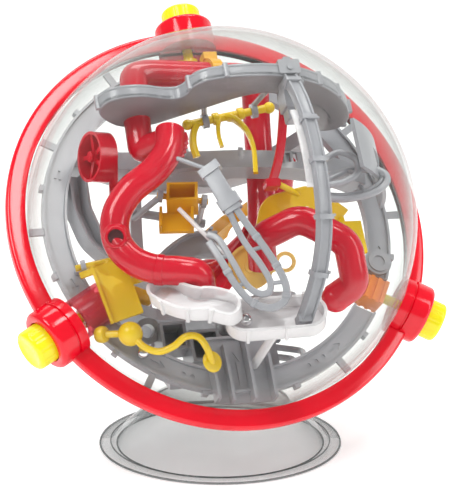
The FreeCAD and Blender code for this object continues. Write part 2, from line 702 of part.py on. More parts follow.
def gate_plate():
    """Yellow hinged gate with a wing and two arms."""
    plate = box(-15, 13.5, -8.2, 8.2, -1, 1)
    plate = joined([plate, box(-15, 13.5, -8.2, -6.8, -1, 3.6), box(-15, 13.5, 6.8, 8.2, -1, 2.8),
                    box(-15, -12, -14, -7, -1, 1), box(-4, -1, 8, 16, -1, 1)])
    plate = laid(plate, (-63.0, -39.5, 15.5), (-0.25, -0.1, 0.96), (0.2, -0.95, -0.05))
    bar = pin(GATE_A, GATE_B, 1.6)
    neck = pin((-65, -23.4, 14.6), (-65.4, -30, 15), 2.0)
    return joined([plate, bar, neck])


def gate_pivots():
    """Two grey eyes that hold the gate's bar."""
    d = unit(V(*GATE_B) - V(*GATE_A))
    shapes = []
    for k, foot in ((4, (-77.0, -22, -1)), (27, (-50, -18, -4))):
        c = V(*GATE_A) + d * k
        eye = joined([Part.makeCylinder(3.2, 2.4, c - d * 1.2, d), pin((c.x, c.y, c.z - 1), foot, 1.4)])
        shapes.append(eye.cut(Part.makeCylinder(1.65, 8, c - d * 4, d)))
    return shapes


def bucket():
    """Yellow tipping bucket with a square mouth, a chute below and two trunnions."""
    cup = box(-7.5, 7.5, -6.5, 6.5, -5, 5).cut(box(-6.1, 6.1, -5.1, 5.1, -3.5, 7))
    chute = box(-11, 5.5, -20, -6, -5, 0.5)
    cup = joined([cup, chute.cut(box(-9.6, 4.1, -21, -5.5, -3.6, 2))])
    d = unit(V(*BUCKET_B) - V(*BUCKET_A))
    cup = laid(cup, (-26, 3, 25.5), (-0.2, 0.45, 0.87), (d.x, d.y, d.z))
    hollow = laid(box(-6.1, 6.1, -5.1, 5.1, -3.5, 7), (-26, 3, 25.5), (-0.2, 0.45, 0.87), (d.x, d.y, d.z))
    return joined([cup, pin(BUCKET_A, BUCKET_B, 1.5)]).cut(hollow)


def bucket_yoke():
    """Grey yoke that carries the bucket above the mid track's side."""
    d = unit(V(*BUCKET_B) - V(*BUCKET_A))
    shapes = []
    for k, foot in ((1.5, (-42, 8, -6)), (23.0, (-9, 4, -6))):
        c = V(*BUCKET_A) + d * k
        eye = joined([Part.makeCylinder(3.0, 2.4, c - d * 1.2, d), pin((c.x, c.y, c.z - 1), foot, 1.5)])
        shapes.append(eye)
    bar = pin((-50, 13, -6), (-6, 3, -6), 2.0)
    yoke = joined(shapes + [bar])
    return yoke.cut(Part.makeCylinder(1.55, 40, V(*BUCKET_A) - d * 5, d))


def rotor_top():
    """Yellow arm and plate on the top knob's shaft."""
    hub = spun([(SHAFT_R, 79), (4.4, 79), (4.4, 92), (SHAFT_R, 92)], axis=(1, 0, 0))
    plate = box(84, 91.5, 3.6, 12.6, -3, 3).cut(box(85.2, 90.3, 6, 11.2, -4, 4))
    bar = box(76, 89, -7.6, -3.6, -2.4, 2.4)
    return about(90, joined([hub, plate, bar, box(78, 82, -5, 5, -2.4, 2.4).cut(pin((70, 0, 0), (90, 0, 0),
                 SHAFT_R))]))


def rotor_left():
    """Orange paddle rotor on the left knob's shaft."""
    hub = spun([(SHAFT_R, 76), (4.0, 76), (4.0, 90), (SHAFT_R, 90)], axis=(1, 0, 0))
    blades = []
    for k in range(6):
        b = box(77, 89, 3.4, 7.8, -0.8, 0.8)
        b.rotate(O, X, 60 * k)
        blades.append(b)
    return about(210, joined([hub] + blades))


def window_left():
    """Clear red sleeve round the left rotor."""
    sleeve = spun([(8.6, 75), (10.2, 75), (10.2, 93.2), (8.6, 93.2)], axis=(1, 0, 0))
    return about(210, within(sleeve.cut(box(70, 95, -12, 12, -12, -4))))


def rotor_right():
    """Orange ribbed block on the right knob's shaft."""
    block = box(76, 90, -6.4, 6.4, -6.4, 6.4).cut(pin((70, 0, 0), (95, 0, 0), SHAFT_R))
    for k in range(3):
        groove = joined([box(78 + 4 * k, 80 + 4 * k, -8, 8, 5.2, 8), box(78 + 4 * k, 80 + 4 * k, -8, 8, -8,
                        -5.2)])
        block = block.cut(groove)
    return about(330, block)


def marble_tray():
    """Steel ball in the lower tray, at its left end."""
    return in_tray(Part.makeSphere(MARBLE_R, V(-14, 0, 1.3 + MARBLE_R + 0.05)))


def marble_track():
    """Steel ball on the ring track."""
    return about(232, Part.makeSphere(MARBLE_R, V(84, 0, MARBLE_R + 0.05)))


# ---- rear maze ----
def rear_deck():
    """Grey comma-shaped plate in the rear half, with a low wall."""
    pts = [(-60, -46), (-44, -62), (-20, -70), (8, -70), (34, -62), (50, -44), (44, -28), (26, -26), (14,
           -38), (-6, -46),
           (-28, -40), (-44, -28), (-58, -30)]
    wire = outline([(x, -34, z) for x, z in pts], 6)
    inner = Part.Face(wire.makeOffset2D(-1.6)).extrude(V(0, 6.4, 0))
    wall = Part.Face(wire).extrude(V(0, 6.4, 0)).cut(inner)
    return within(joined([Part.Face(wire).extrude(V(0, 2, 0)), wall]))


def rear_arc():
    """Square beam that follows the rear dome."""
    pts = [V(-20, 84 * math.sin(math.radians(a)), -84 * math.cos(math.radians(a))) for a in (-50, 0, 52)]
    path = Part.Wire([Part.Arc(*pts).toShape()])
    flat = [(-2.5, -3.2), (2.5, -3.2), (2.5, 3.2), (-2.5, 3.2)]
    return sweep(path, section(path, X, flat), X)


def rear_tube():
    """Red tube that sweeps across the rear half."""
    return tube([(46, 40, -14), (48, 22, -44), (22, 4, -66), (-8, -6, -62), (-40, 4, -46), (-54, -8, -22)],
                14, TUBE_R,
                TUBE_R - TUBE_T)


def rear_channel():
    """Grey trough across the upper rear."""
    return channel([(-62, 46, -8), (-44, 46, -38), (-14, 46, -56), (20, 46, -58), (46, 46, -40), (62, 46,
                   -6)], 18, 12, 8,
                   1.5, (0, 1, 0))


def rear_slide():
    """Yellow trough that drops through the rear half."""
    return channel([(40, 30, -52), (20, 14, -36), (-4, -4, -34), (-24, -20, -40)], 14, 11, 6, 1.4, (0.1,
                   0.75, -0.2))


def rear_bowl():
    """Yellow bowl under the slide."""
    bowl = Part.makeSphere(12).cut(Part.makeSphere(10.6)).common(box(-13, 13, -13, 0, -13, 13))
    bowl.translate(V(-36, -14, -44))
    return bowl


def rear_rods():
    """Looped grey rods at the lower rear."""
    a = tube([(8, -34, -66), (30, -44, -60), (46, -56, -40), (40, -66, -24), (18, -72, -22)], 9, 1.7)
    b = tube([(6, -40, -64), (27, -50, -58), (40, -60, -40), (34, -68, -27), (18, -72, -22)], 8, 1.7)
    return joined([a, b, pin((30, -44, -60), (27, -50, -58), 1.4)])


# ---- put the ball on its stand and write the files ----
def ball_place():
    """Placement that carries ball coordinates into the row frame."""
    el, az, roll = math.radians(TILT), math.radians(TURN), math.radians(ROLL)
    nz = V(math.cos(el) * math.sin(az), -math.cos(el) * math.cos(az), math.sin(el))
    up = V(-math.sin(el) * math.sin(az), math.sin(el) * math.cos(az), math.cos(el))
    rt = up.cross(nz)
    ey = up * math.cos(roll) - rt * math.sin(roll)
    return FreeCAD.Placement(V(STAND_X, STAND_Y, BALL_Z), FreeCAD.Rotation(ey.cross(nz), ey, nz, "ZYX"))


GROUPS = {"equator_track": ("equator_track", "round_pad"), "arc_rail": ("arc_rail", "deck_bracket"),
          "pill_tray": ("pill_tray", "tray_post"), "hairpin_rails": ("hairpin_rails", "thin_arm"),
          "top_tube": ("top_tube", "column"), "lever_eyes": ("lever_eye_right", "lever_eye_left"),
          "gate_eyes": ("gate_eye_left", "gate_eye_right"), "yellow_disc": ("yellow_disc", "yellow_hoop"),
          "lower_maze": ("lower_boxes", "lower_cups", "tube_mouth"), "rear_slide": ("rear_slide",
                  "rear_bowl"),
          "rear_arc": ("rear_arc", "rear_rods")}


def merge(pieces, name, members):
    """Join the members into one named piece: one solid where they touch, else a pair."""
    shapes = [pieces.pop(m) for m in members]
    whole = joined(shapes)
    pieces[name] = whole if len(whole.Solids) == 1 else Part.makeCompound(whole.Solids)


def main():
    place = ball_place()
    pieces = {"front_dome": dome(1), "rear_dome": dome(-1), "ring_front": ring_half(1),
              "ring_rear": ring_half(-1),
              "ring_screws": ring_screws()}
    for name, a in KNOB_ANGLES.items():
        pieces["housing_" + name] = housing(a)
        pieces["knob_" + name] = knob(a)
    pieces["shaft_top"] = shaft(90, 79)
    pieces["shaft_left"] = shaft(210, 76)
    pieces["shaft_right"] = shaft(330, 76)
    pieces["rotor_top"] = rotor_top()
    pieces["rotor_left"] = rotor_left()
    pieces["rotor_right"] = rotor_right()
    pieces["star_wheel"] = wheel_drum()
    pieces["branch_lever"] = branch_lever()
    pieces["gate_plate"] = gate_plate()
    pieces["tipping_bucket"] = bucket()
    pieces["tray_ball"] = marble_tray()
    pieces["track_ball"] = marble_track()
    hang, gate = lever_hangers(), gate_pivots()
    rooms = rotor_rooms()
    fixed = [("equator_track", equator_track()), ("start_ramp", start_ramp()), ("upper_deck", upper_deck()),
             ("arc_rail", arc_rail()), ("deck_bracket", deck_bracket()), ("guide_strip", guide_strip()),
             ("window_left", window_left()), ("mid_track", mid_track()), ("s_tube", s_tube()),
             ("bent_inlet", bent_inlet()), ("top_tube", top_tube()), ("tube_band", tube_band()),
             ("pill_tray", pill_tray()), ("s_tray", s_tray()), ("tray_post", tray_post()),
             ("hairpin_rails", hairpin_rails()), ("thin_arm", thin_arm()), ("white_rod", white_rod()),
             ("column", column()), ("arch_tube", arch_tube()), ("red_chute", red_chute()),
             ("red_strip", red_strip()), ("strip_peg", strip_peg()), ("left_trough", left_trough()),
             ("wheel_axle", wheel_axle()), ("lever_eye_right", hang[0]), ("lever_eye_left", hang[1]),
             ("gate_eye_left", gate[0]), ("gate_eye_right", gate[1]), ("bucket_yoke", bucket_yoke()),
             ("s_rod", s_rod()), ("tube_mouth", tube_mouth()), ("lower_boxes", lower_boxes()),
             ("lower_cups", lower_cups()), ("looped_rods", spiral_rails()), ("back_plate", back_plate()),
             ("round_pad", round_plate()), ("cradle", cradle()), ("yellow_flap", far_flap()),
             ("yellow_disc", yellow_disc()), ("yellow_hoop", yellow_ring()), ("rear_deck", rear_deck()),
             ("rear_arc", rear_arc()), ("rear_tube", rear_tube()), ("rear_channel", rear_channel()),
             ("rear_slide", rear_slide()), ("rear_bowl", rear_bowl()), ("rear_rods", rear_rods())]
    done = []
    for name, shape in fixed:
        if name == "equator_track":
            shape = cleared(shape, rooms, 500)
        else:
            shape = cleared(within(shape), rooms + done)
        done.append(shape)
        pieces[name] = shape
    for name, members in GROUPS.items():
        merge(pieces, name, members)
    for name, shape in pieces.items():
        shape.Placement = place.multiply(shape.Placement)
    pieces["stand"] = stand()
    for name, shape in pieces.items():
        print(name, len(shape.Solids), round(shape.Volume, 1), shape.isValid())
        shape.exportStep("parts/" + name + ".step")
    print(len(pieces), "nodes")


main()
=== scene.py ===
import json
import math

import bmesh
import bpy
import numpy as np
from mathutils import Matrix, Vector


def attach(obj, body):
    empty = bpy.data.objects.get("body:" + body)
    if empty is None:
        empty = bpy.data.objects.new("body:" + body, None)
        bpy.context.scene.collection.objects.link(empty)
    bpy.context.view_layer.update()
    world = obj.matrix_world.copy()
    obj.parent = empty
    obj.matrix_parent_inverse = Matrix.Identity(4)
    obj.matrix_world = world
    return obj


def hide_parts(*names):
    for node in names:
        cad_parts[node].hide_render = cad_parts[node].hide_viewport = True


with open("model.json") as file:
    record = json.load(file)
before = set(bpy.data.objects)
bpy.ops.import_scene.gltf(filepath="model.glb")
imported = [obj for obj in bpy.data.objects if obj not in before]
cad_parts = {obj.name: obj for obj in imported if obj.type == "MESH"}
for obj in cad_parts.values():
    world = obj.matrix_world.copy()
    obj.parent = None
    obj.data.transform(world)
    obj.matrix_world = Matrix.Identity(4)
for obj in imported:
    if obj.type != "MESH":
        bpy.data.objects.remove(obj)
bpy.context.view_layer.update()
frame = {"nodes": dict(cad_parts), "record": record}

# ---- the sphere's own frame, in millimetres: +Z out of the front dome, +Y toward the top knob ----
STAND_AXIS = np.array([-4.87, 0.0])
BALL_CENTRE = np.array([-4.87, 0.0, 114.8])
TILT, TURN, ROLL = math.radians(37.0), math.radians(20.0), math.radians(-2.0)
DOME_R, DOME_T, FLANGE_R, SEAM = 98.0, 2.0, 103.0, 0.1
RING_R, RING_IN, RING_H = 108.0, 98.6, 3.0
TUBE_R, TUBE_WALL = 7.0, 1.5


def ball_axes():
    """Columns are the sphere's X, Y and Z axes in the row frame."""
    nz = np.array([math.cos(TILT) * math.sin(TURN), -math.cos(TILT) * math.cos(TURN), math.sin(TILT)])
    up = np.array([-math.sin(TILT) * math.sin(TURN), math.sin(TILT) * math.cos(TURN), math.cos(TILT)])
    right = np.cross(up, nz)
    ey = math.cos(ROLL) * up - math.sin(ROLL) * right
    return np.column_stack([np.cross(ey, nz), ey, nz])


AXES = ball_axes()


def in_row(p):
    """Sphere-frame points in millimetres to row-frame points in metres."""
    return (np.asarray(p, float) @ AXES.T + BALL_CENTRE) / 1000.0


def unit(v):
    """The vectors at length one."""
    v = np.asarray(v, float)
    return v / np.linalg.norm(v, axis=-1, keepdims=True)


# ---- lines and sections ----
def soft_line(points, count=90):
    """Quadratic B-spline on the given control points, ends kept, read at equal lengths:
    each span is the parabola from one run's middle to the next run's middle."""
    p = np.asarray(points, float)
    mids = (p[:-1] + p[1:]) / 2
    start = np.vstack([p[:1], mids[1:-1]]) if len(p) > 3 else p[:1]
    if len(p) == 2:
        return p[0] + np.linspace(0, 1, count)[:, None] * (p[1] - p[0])
    if len(p) == 3:
        start, end = p[:1], p[2:]
    else:
        end = np.vstack([mids[1:-1], p[-1:]])
    ctrl = p[1:-1]
    t = np.linspace(0, 1, 40)[None, :, None]
    curve = (1 - t) ** 2 * start[:, None] + 2 * t * (1 - t) * ctrl[:, None] + t ** 2 * end[:, None]
    return even(curve.reshape(-1, 3), count)


def through(points, count=90, closed=False):
    """Catmull-Rom line: it passes through every point, and at each one it runs parallel to the
    chord between the points on either side."""
    p = np.asarray(points, float)
    p = np.vstack([p[-1:], p, p[:2]]) if closed else np.vstack([2 * p[0] - p[1], p, 2 * p[-1] - p[-2]])
    a, b, c, d = [q[:, None] for q in (p[:-3], p[1:-2], p[2:-1], p[3:])]
    t = np.linspace(0, 1, 30)[None, :, None]
    curve = 0.5 * (2 * b + (c - a) * t + (2 * a - 5 * b + 4 * c - d) * t ** 2
                   + (3 * b - a - 3 * c + d) * t ** 3)
    return even(curve.reshape(-1, 3), count)


def even(curve, count, closed=False):
    """The same line at equal steps of length."""
    if closed:
        curve = np.vstack([curve, curve[:1]])
    step = np.linalg.norm(np.diff(curve, axis=0), axis=1)
    keep = np.concatenate([[True], step > 1e-9])
    curve = curve[keep]
    length = np.concatenate([[0], np.cumsum(np.linalg.norm(np.diff(curve, axis=0), axis=1))])
    at = np.linspace(0, length[-1], count + 1 if closed else count)
    out = np.column_stack([np.interp(at, length, curve[:, k]) for k in range(3)])
    return out[:-1] if closed else out


def soft_loop(points, count=240):
    """Closed quadratic B-spline on the given control points."""
    p = np.asarray(points, float)
    before, after = (np.roll(p, 1, 0) + p) / 2, (np.roll(p, -1, 0) + p) / 2
    t = np.linspace(0, 1, 24)[None, :, None]
    curve = (1 - t) ** 2 * before[:, None] + 2 * t * (1 - t) * p[:, None] + t ** 2 * after[:, None]
    return even(curve.reshape(-1, 3), count, closed=True)


def rounded(corners, r=0.4, steps=3):
    """Closed flat section whose corners are cut by parabolas that start r from each corner."""
    p = np.asarray(corners, float)
    to_last, to_next = np.roll(p, 1, 0) - p, np.roll(p, -1, 0) - p
    a = p + unit(to_last) * np.minimum(r, 0.45 * np.linalg.norm(to_last, axis=1))[:, None]
    b = p + unit(to_next) * np.minimum(r, 0.45 * np.linalg.norm(to_next, axis=1))[:, None]
    t = np.linspace(0, 1, steps + 1)[None, :, None]
    arcs = (1 - t) ** 2 * a[:, None] + 2 * t * (1 - t) * p[:, None] + t ** 2 * b[:, None]
    return arcs.reshape(-1, 2)


def bar_section(w, h, r=0.5):
    """Rectangle w across and h high with round corners."""
    return rounded([(-w / 2, -h / 2), (w / 2, -h / 2), (w / 2, h / 2), (-w / 2, h / 2)], r)


def trough_section(w, h, t, r=0.45):
    """Open U: floor w wide, walls h high, t thick."""
    a = w / 2
    return rounded([(-a, 0), (a, 0), (a, h), (a - t, h), (a - t, t), (t - a, t), (t - a, h), (-a, h)], r)


def circle(r, n=28):
    """Circle of n points."""
    a = np.linspace(0, 2 * np.pi, n, endpoint=False)
    return np.column_stack([r * np.cos(a), r * np.sin(a)])


def side_and_up(line, up, closed=False):
    """At each point of a line, the side and up directions square to it, up nearest the one given."""
    if closed:
        along = unit(np.roll(line, -1, 0) - np.roll(line, 1, 0))
    else:
        along = unit(np.gradient(line, axis=0))
    side = unit(np.cross(np.broadcast_to(np.asarray(up, float), line.shape), along))
    return side, unit(np.cross(along, side))


# ---- surfaces: each returns a list of (grid of points, rows wrap, columns wrap) ----
def swept(line, section, up, closed=False):
    """Section carried along a line: point = line + side * first + up * second, with closed ends."""
    side, high = side_and_up(line, up, closed)
    grid = line[:, None] + side[:, None] * section[None, :, :1] + high[:, None] * section[None, :, 1:]
    if not closed:
        middle = grid.mean(1, keepdims=True)
        ends = np.repeat(middle, grid.shape[1], axis=1)
        near = ends + (grid - ends) * 0.94
        grid = np.concatenate([ends[:1], near[:1], grid, near[-1:], ends[-1:]])
    return [(grid, closed, True)]


def pipe(line, ro, ri, up, flare=0.0, n=32):
    """Hollow tube: an outer skin out to one end and an inner skin back, with rounded rims."""
    side, high = side_and_up(line, up)
    a = np.linspace(0, 2 * np.pi, n, endpoint=False)
    ring = side[:, None] * np.cos(a)[None, :, None] + high[:, None] * np.sin(a)[None, :, None]
    rows = len(line)
    lip = np.exp(-np.arange(rows) / 2.0) * flare
    lip = lip + lip[::-1]
    outer = line[:, None] + ring * (ro + lip)[:, None, None]
    inner = line[:, None] + ring * np.full(rows, ri)[:, None, None]
    edge = 0.35
    first = line[:1, None] + ring[:1] * (ro + lip[0] - edge) - unit(line[1] - line[0]) * edge
    last = line[-1:, None] + ring[-1:] * (ro + lip[-1] - edge) + unit(line[-1] - line[-2]) * edge
    first_in = line[:1, None] + ring[:1] * (ri + edge) - unit(line[1] - line[0]) * edge
    last_in = line[-1:, None] + ring[-1:] * (ri + edge) + unit(line[-1] - line[-2]) * edge
    grid = np.concatenate([first, outer, last, last_in, inner[::-1], first_in])
    return [(grid, True, True)]


def turned(profile, origin=(0, 0, 0), axis=(0, 0, 1), n=96, closed=True, wobble=None):
    """Turned surface: each (radius, height) of the profile goes once round the axis.
    wobble(angle, radius, height) changes the radius, as for grip grooves."""
    w = unit(axis)
    ref = np.array([0, 0, 1.0]) if abs(w[2]) < 0.9 else np.array([1.0, 0, 0])
    u = unit(np.cross(ref, w))
    v = np.cross(w, u)
    p = np.asarray(profile, float)
    a = np.linspace(0, 2 * np.pi, n, endpoint=False)[None, :]
    r, h = np.broadcast_to(p[:, :1], (len(p), n)), np.broadcast_to(p[:, 1:], (len(p), n))
    if wobble is not None:
        r = wobble(a, r, h)
    grid = (np.asarray(origin, float) + u * (r * np.cos(a))[..., None] + v * (r * np.sin(a))[..., None]
            + w * h[..., None])
    return [(grid, closed, True)]


def slab(loop, inset, heights, up):
    """Flat plate from a closed outline: rows of the outline, drawn in a little at both faces."""
    centre = loop.mean(0)
    along = unit(np.roll(loop, -1, 0) - np.roll(loop, 1, 0))
    inward = unit(np.cross(np.broadcast_to(np.asarray(up, float), loop.shape), along))
    if ((centre - loop) * inward).sum() < 0:
        inward = -inward
    up = np.asarray(up, float)
    rows = [loop + inward * i + up * h for i, h in zip(inset, heights)]
    return [(np.stack(rows), False, True)]


def pieces_mesh(name, surfaces, faces=()):
    """One mesh from grids: quads between neighbours, doubles merged, normals outward."""
    verts, quads, base = [], [], 0
    for grid, wrap_rows, wrap_cols in surfaces:
        n, m = grid.shape[:2]
        i = np.arange(n if wrap_rows else n - 1)[:, None]
        j = np.arange(m if wrap_cols else m - 1)[None, :]
        ni, nj = (i + 1) % n, (j + 1) % m
        quads.append(np.stack([i * m + j, i * m + nj, ni * m + nj, ni * m + j], -1).reshape(-1, 4) + base)
        verts.append(grid.reshape(-1, 3))
        base += n * m
    mesh = bpy.data.meshes.new(name)
    polys = np.concatenate(quads).tolist() + [list(f) for f in faces]
    mesh.from_pydata(in_row(np.concatenate(verts)).tolist(), [], polys)
    bm = bmesh.new()
    bm.from_mesh(mesh)
    bmesh.ops.remove_doubles(bm, verts=bm.verts, dist=2e-7)
    bmesh.ops.dissolve_degenerate(bm, edges=bm.edges, dist=1e-7)
    bmesh.ops.recalc_face_normals(bm, faces=bm.faces)
    bm.to_mesh(mesh)
    bm.free()
    mesh.polygons.foreach_set("use_smooth", np.ones(len(mesh.polygons), bool))
    mesh.set_sharp_from_angle(angle=math.radians(38))
    return mesh


def make(name, surfaces, paint, body="ball", instead=(), faces=()):
    """A finished piece: mesh, material, body and slot, standing for the CAD nodes named."""
    obj = bpy.data.objects.new(name, pieces_mesh(name, surfaces, faces))
    bpy.context.scene.collection.objects.link(obj)
    obj.data.materials.append(paint)
    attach(obj, body)
    if instead:
        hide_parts(*instead)
    return obj


# ---- shader building ----
class Socket:
    """An output socket that takes part in sums."""

    def __init__(self, book, out):
        self.book, self.out = book, out

    def _math(self, operation, a, b):
        return self.book.node("ShaderNodeMath", {"operation": operation}, {0: a, 1: b})

    def __add__(self, other):
        return self._math("ADD", self, other)

    def __radd__(self, other):
        return self._math("ADD", other, self)

    def __sub__(self, other):
        return self._math("SUBTRACT", self, other)

    def __rsub__(self, other):
        return self._math("SUBTRACT", other, self)

    def __mul__(self, other):
        return self._math("MULTIPLY", self, other)

    def __rmul__(self, other):
        return self._math("MULTIPLY", other, self)

    def __pow__(self, other):
        return self._math("POWER", self, other)

    def above(self, low, high):
        """0 below low, 1 above high, eased between."""
        return self.book.node("ShaderNodeMapRange", {"interpolation_type": "SMOOTHSTEP"},
                              {"Value": self, "From Min": low, "From Max": high})


class Recipe:
    """A material under construction."""

    def __init__(self, name):
        self.mat = bpy.data.materials.new(name)
        self.mat.use_nodes = True
        self.tree = self.mat.node_tree
        self.tree.nodes.clear()
        self.out = self.tree.nodes.new("ShaderNodeOutputMaterial")

    def node(self, kind, settings=None, values=None, output=0):
        """Any node: its type, its settings, and the values or links of its sockets."""
        n = self.tree.nodes.new(kind)
        for key, value in (settings or {}).items():
            setattr(n, key, value)
        for key, value in (values or {}).items():
            if isinstance(value, Socket):
                self.tree.links.new(value.out, n.inputs[key])
            else:
                n.inputs[key].default_value = value
        return Socket(self, n.outputs[output])

    def place(self):
        """Object coordinates."""
        return self.node("ShaderNodeTexCoord", output=3)

    def noise(self, scale, detail=3.0, rough=0.55):
        return self.node("ShaderNodeTexNoise", {}, {"Vector": self.place(), "Scale": scale, "Detail": detail,
                                                    "Roughness": rough})

    def mix(self, factor, a, b):
        return self.node("ShaderNodeMix", {"data_type": "RGBA"}, {0: factor, 6: a, 7: b}, 2)

    def bump(self, height, strength, distance):
        return self.node("ShaderNodeBump", {}, {"Strength": strength, "Distance": distance, "Height": height})

    def done(self, shader):
        self.tree.links.new(shader.out, self.out.inputs["Surface"])
        return self.mat


def shade(colour, k):
    """The colour times k, opaque."""
    return (*[min(1.0, c * k) for c in colour[:3]], 1.0)


def moulded(name, colour, rough, grain):
    """Moulded plastic: slow flow marks in the colour, uneven gloss, and a fine moulded grain."""
    m = Recipe(name)
    flow, fine, scuff = m.noise(38.0, 2.0), m.noise(1900.0, 2.0), m.noise(260.0, 4.0)
    tone = m.mix(flow.above(0.35, 0.65), shade(colour, 0.93), shade(colour, 1.05))
    worn = scuff.above(0.56, 0.72) * 0.07
    skin = m.bump(fine, grain, 0.00006)
    values = {"Base Color": tone, "Roughness": worn + (flow * 0.06 + (rough - 0.03)), "Normal": skin,
              "IOR": 1.5}
    return m.done(m.node("ShaderNodeBsdfPrincipled", {}, values))


def see_through(name, tint, body_colour, least, edge, rough=0.05, power=3.0):
    """Clear moulded plastic: see-through face on, denser and more mirror-like toward its edges,
    with faint rub marks from handling."""
    m = Recipe(name)
    facing = m.node("ShaderNodeLayerWeight", {}, {"Blend": 0.5}, 1)
    rubbed = m.noise(140.0, 5.0, 0.6).above(0.55, 0.75)
    fine = m.noise(900.0, 2.0)
    cover = (facing ** power) * edge + (rubbed * 0.012 + least)
    clear = m.node("ShaderNodeBsdfTransparent", {}, {"Color": tint})
    solid = m.node("ShaderNodeBsdfPrincipled", {}, {"Base Color": m.mix(rubbed, shade(body_colour, 1.0),
                                                                       shade(body_colour, 1.08)),
                                                   "Roughness": rubbed * 0.08 + rough, "IOR": 1.5,
                                                   "Normal": m.bump(fine, 0.06, 0.00005)})
    mixed = m.node("ShaderNodeMixShader", {}, {0: cover, 1: clear, 2: solid})
    return m.done(mixed)


def polished_steel(name):
    """Polished steel ball: mirror with hair-fine scuffs."""
    m = Recipe(name)
    scuff = m.noise(700.0, 4.0)
    return m.done(m.node("ShaderNodeBsdfPrincipled", {}, {
        "Base Color": m.mix(scuff.above(0.5, 0.7), (0.72, 0.72, 0.73, 1), (0.62, 0.62, 0.63, 1)),
        "Metallic": 1.0, "Roughness": scuff.above(0.55, 0.75) * 0.08 + 0.06,
        "Normal": m.bump(scuff, 0.05, 0.00003)}))


def stage_paint(name):
    """Plain white matt floor with the faintest mottling."""
    m = Recipe(name)
    tone = m.mix(m.noise(6.0, 2.0), (0.90, 0.90, 0.90, 1), (0.92, 0.92, 0.92, 1))
    return m.done(m.node("ShaderNodeBsdfPrincipled", {}, {"Base Color": tone, "Roughness": 0.9,
                                                         "Specular IOR Level": 0.1,
                                                         "Emission Color": (1, 1, 1, 1),
                                                         "Emission Strength": 0.36}))


RED = moulded("ring_gloss_red", (0.78, 0.0, 0.014), 0.10, 0.06)
MAZE_RED = moulded("maze_red", (0.56, 0.002, 0.018), 0.12, 0.1)
NEON = moulded("knob_neon_yellow", (0.86, 0.80, 0.008), 0.2, 0.2)
WARM = moulded("maze_warm_yellow", (0.80, 0.40, 0.01), 0.2, 0.2)
# Near-black red for the disc in the S tube's hole: painted shade of the hole's dark inside.
HOLE_SHADE = moulded("hole_shadow_red", (0.07, 0.002, 0.005), 0.5, 0.1)
# Darker, more opaque clear for the stand's edge beads: painted shade of the dark lines along the clear
# plastic's edges.
STAND_EDGE_SHADE = see_through("stand_edge_painted_shade", (0.82, 0.83, 0.83, 1), (0.10, 0.115, 0.115), 0.34, 0.5, 0.05,
                         2.0)
PALE = see_through("disc_pale_yellow", (0.98, 0.9, 0.6, 1), (0.84, 0.55, 0.14), 0.72, 0.25, 0.14, 2.0)
LEMON = moulded("maze_lemon_yellow", (0.82, 0.56, 0.008), 0.18, 0.15)
# Darker grey for a skin under the deck's plate: painted shade on the underside.
DECK_UNDER_SHADE = moulded("deck_underside_shade_grey", (0.21, 0.19, 0.20), 0.3, 0.2)
ORANGE = moulded("rotor_orange", (0.80, 0.22, 0.01), 0.24, 0.2)
GREY = moulded("maze_light_grey", (0.34, 0.34, 0.365), 0.2, 0.2)
DARK_GREY = moulded("maze_dark_grey", (0.17, 0.17, 0.185), 0.28, 0.3)
MILKY = see_through("tray_milky_white", (0.97, 0.96, 0.97, 1), (0.90, 0.88, 0.89), 0.58, 0.36, 0.14, 2.0)
STEEL = polished_steel("ball_polished_steel")
SCREW = polished_steel("screw_steel")
DOME_CLEAR = see_through("dome_clear", (0.98, 0.985, 0.98, 1), (0.40, 0.42, 0.40), 0.012, 0.85, 0.03, 4.2)
STAND_CLEAR = see_through("stand_smoky_clear", (0.915, 0.92, 0.92, 1), (0.10, 0.115, 0.115), 0.04, 0.95,
                          0.03, 4.0)
RED_CLEAR = see_through("window_clear_red", (0.95, 0.35, 0.4, 1), (0.75, 0.05, 0.1), 0.35, 0.4, 0.15)
YELLOW_CLEAR = see_through("cradle_clear_yellow", (0.98, 0.85, 0.35, 1), (0.82, 0.56, 0.02), 0.62, 0.35, 0.12)

PAINTS = {"clear_dome": DOME_CLEAR, "clear_stand": STAND_CLEAR, "gloss_red": RED, "screw_steel": SCREW,
          "knob_yellow": NEON, "rotor_orange": ORANGE, "clear_red": RED_CLEAR, "maze_red": MAZE_RED,
          "maze_yellow": WARM, "clear_yellow": YELLOW_CLEAR, "milky_white": MILKY, "maze_dark_grey": DARK_GREY,
          "ball_steel": STEEL, "maze_grey": GREY}


FINER = {"gate_plate": YELLOW_CLEAR, "yellow_flap": LEMON, "strip_peg": LEMON, "rotor_top": LEMON,
         "yellow_disc": PALE}


def paint_cad_nodes():
    """Every CAD node takes the finish of its slot, or its own where the slot is shared by two tints."""
    for sub in frame["record"]["subparts"]:
        node = frame["nodes"].get(sub["node"])
        if node is None:
            continue
        finish = FINER.get(sub["node"], PAINTS[sub["material_slot"]])
        if not node.material_slots:
            node.data.materials.append(finish)
        for place in node.material_slots:
            place.material = finish


# ---- shell pieces ----
def quarter(cx, cy, r, a0, a1, n=7):
    """Points of an arc, as (radius, height) pairs, angles in degrees."""
    a = np.radians(np.linspace(a0, a1, n))
    return np.column_stack([cx + r * np.cos(a), cy + r * np.sin(a)])


def dome(side):
    """Half shell: an outer arc down to the rim flange and an inner arc back to the pole."""
    lat = np.radians(np.linspace(90, 1.1, 90))
    outer = DOME_R * np.column_stack([np.cos(lat), np.sin(lat)])
    rim = [(DOME_R + 0.3, 1.4), (FLANGE_R - 0.4, 1.4), (FLANGE_R, 1.0), (FLANGE_R, SEAM), (DOME_R - DOME_T,
           SEAM)]
    inner = (DOME_R - DOME_T) * np.column_stack([np.cos(lat[::-1]), np.sin(lat[::-1])])
    profile = np.vstack([outer, rim, inner])
    profile[:, 1] *= side
    return turned(profile, n=192, closed=False)


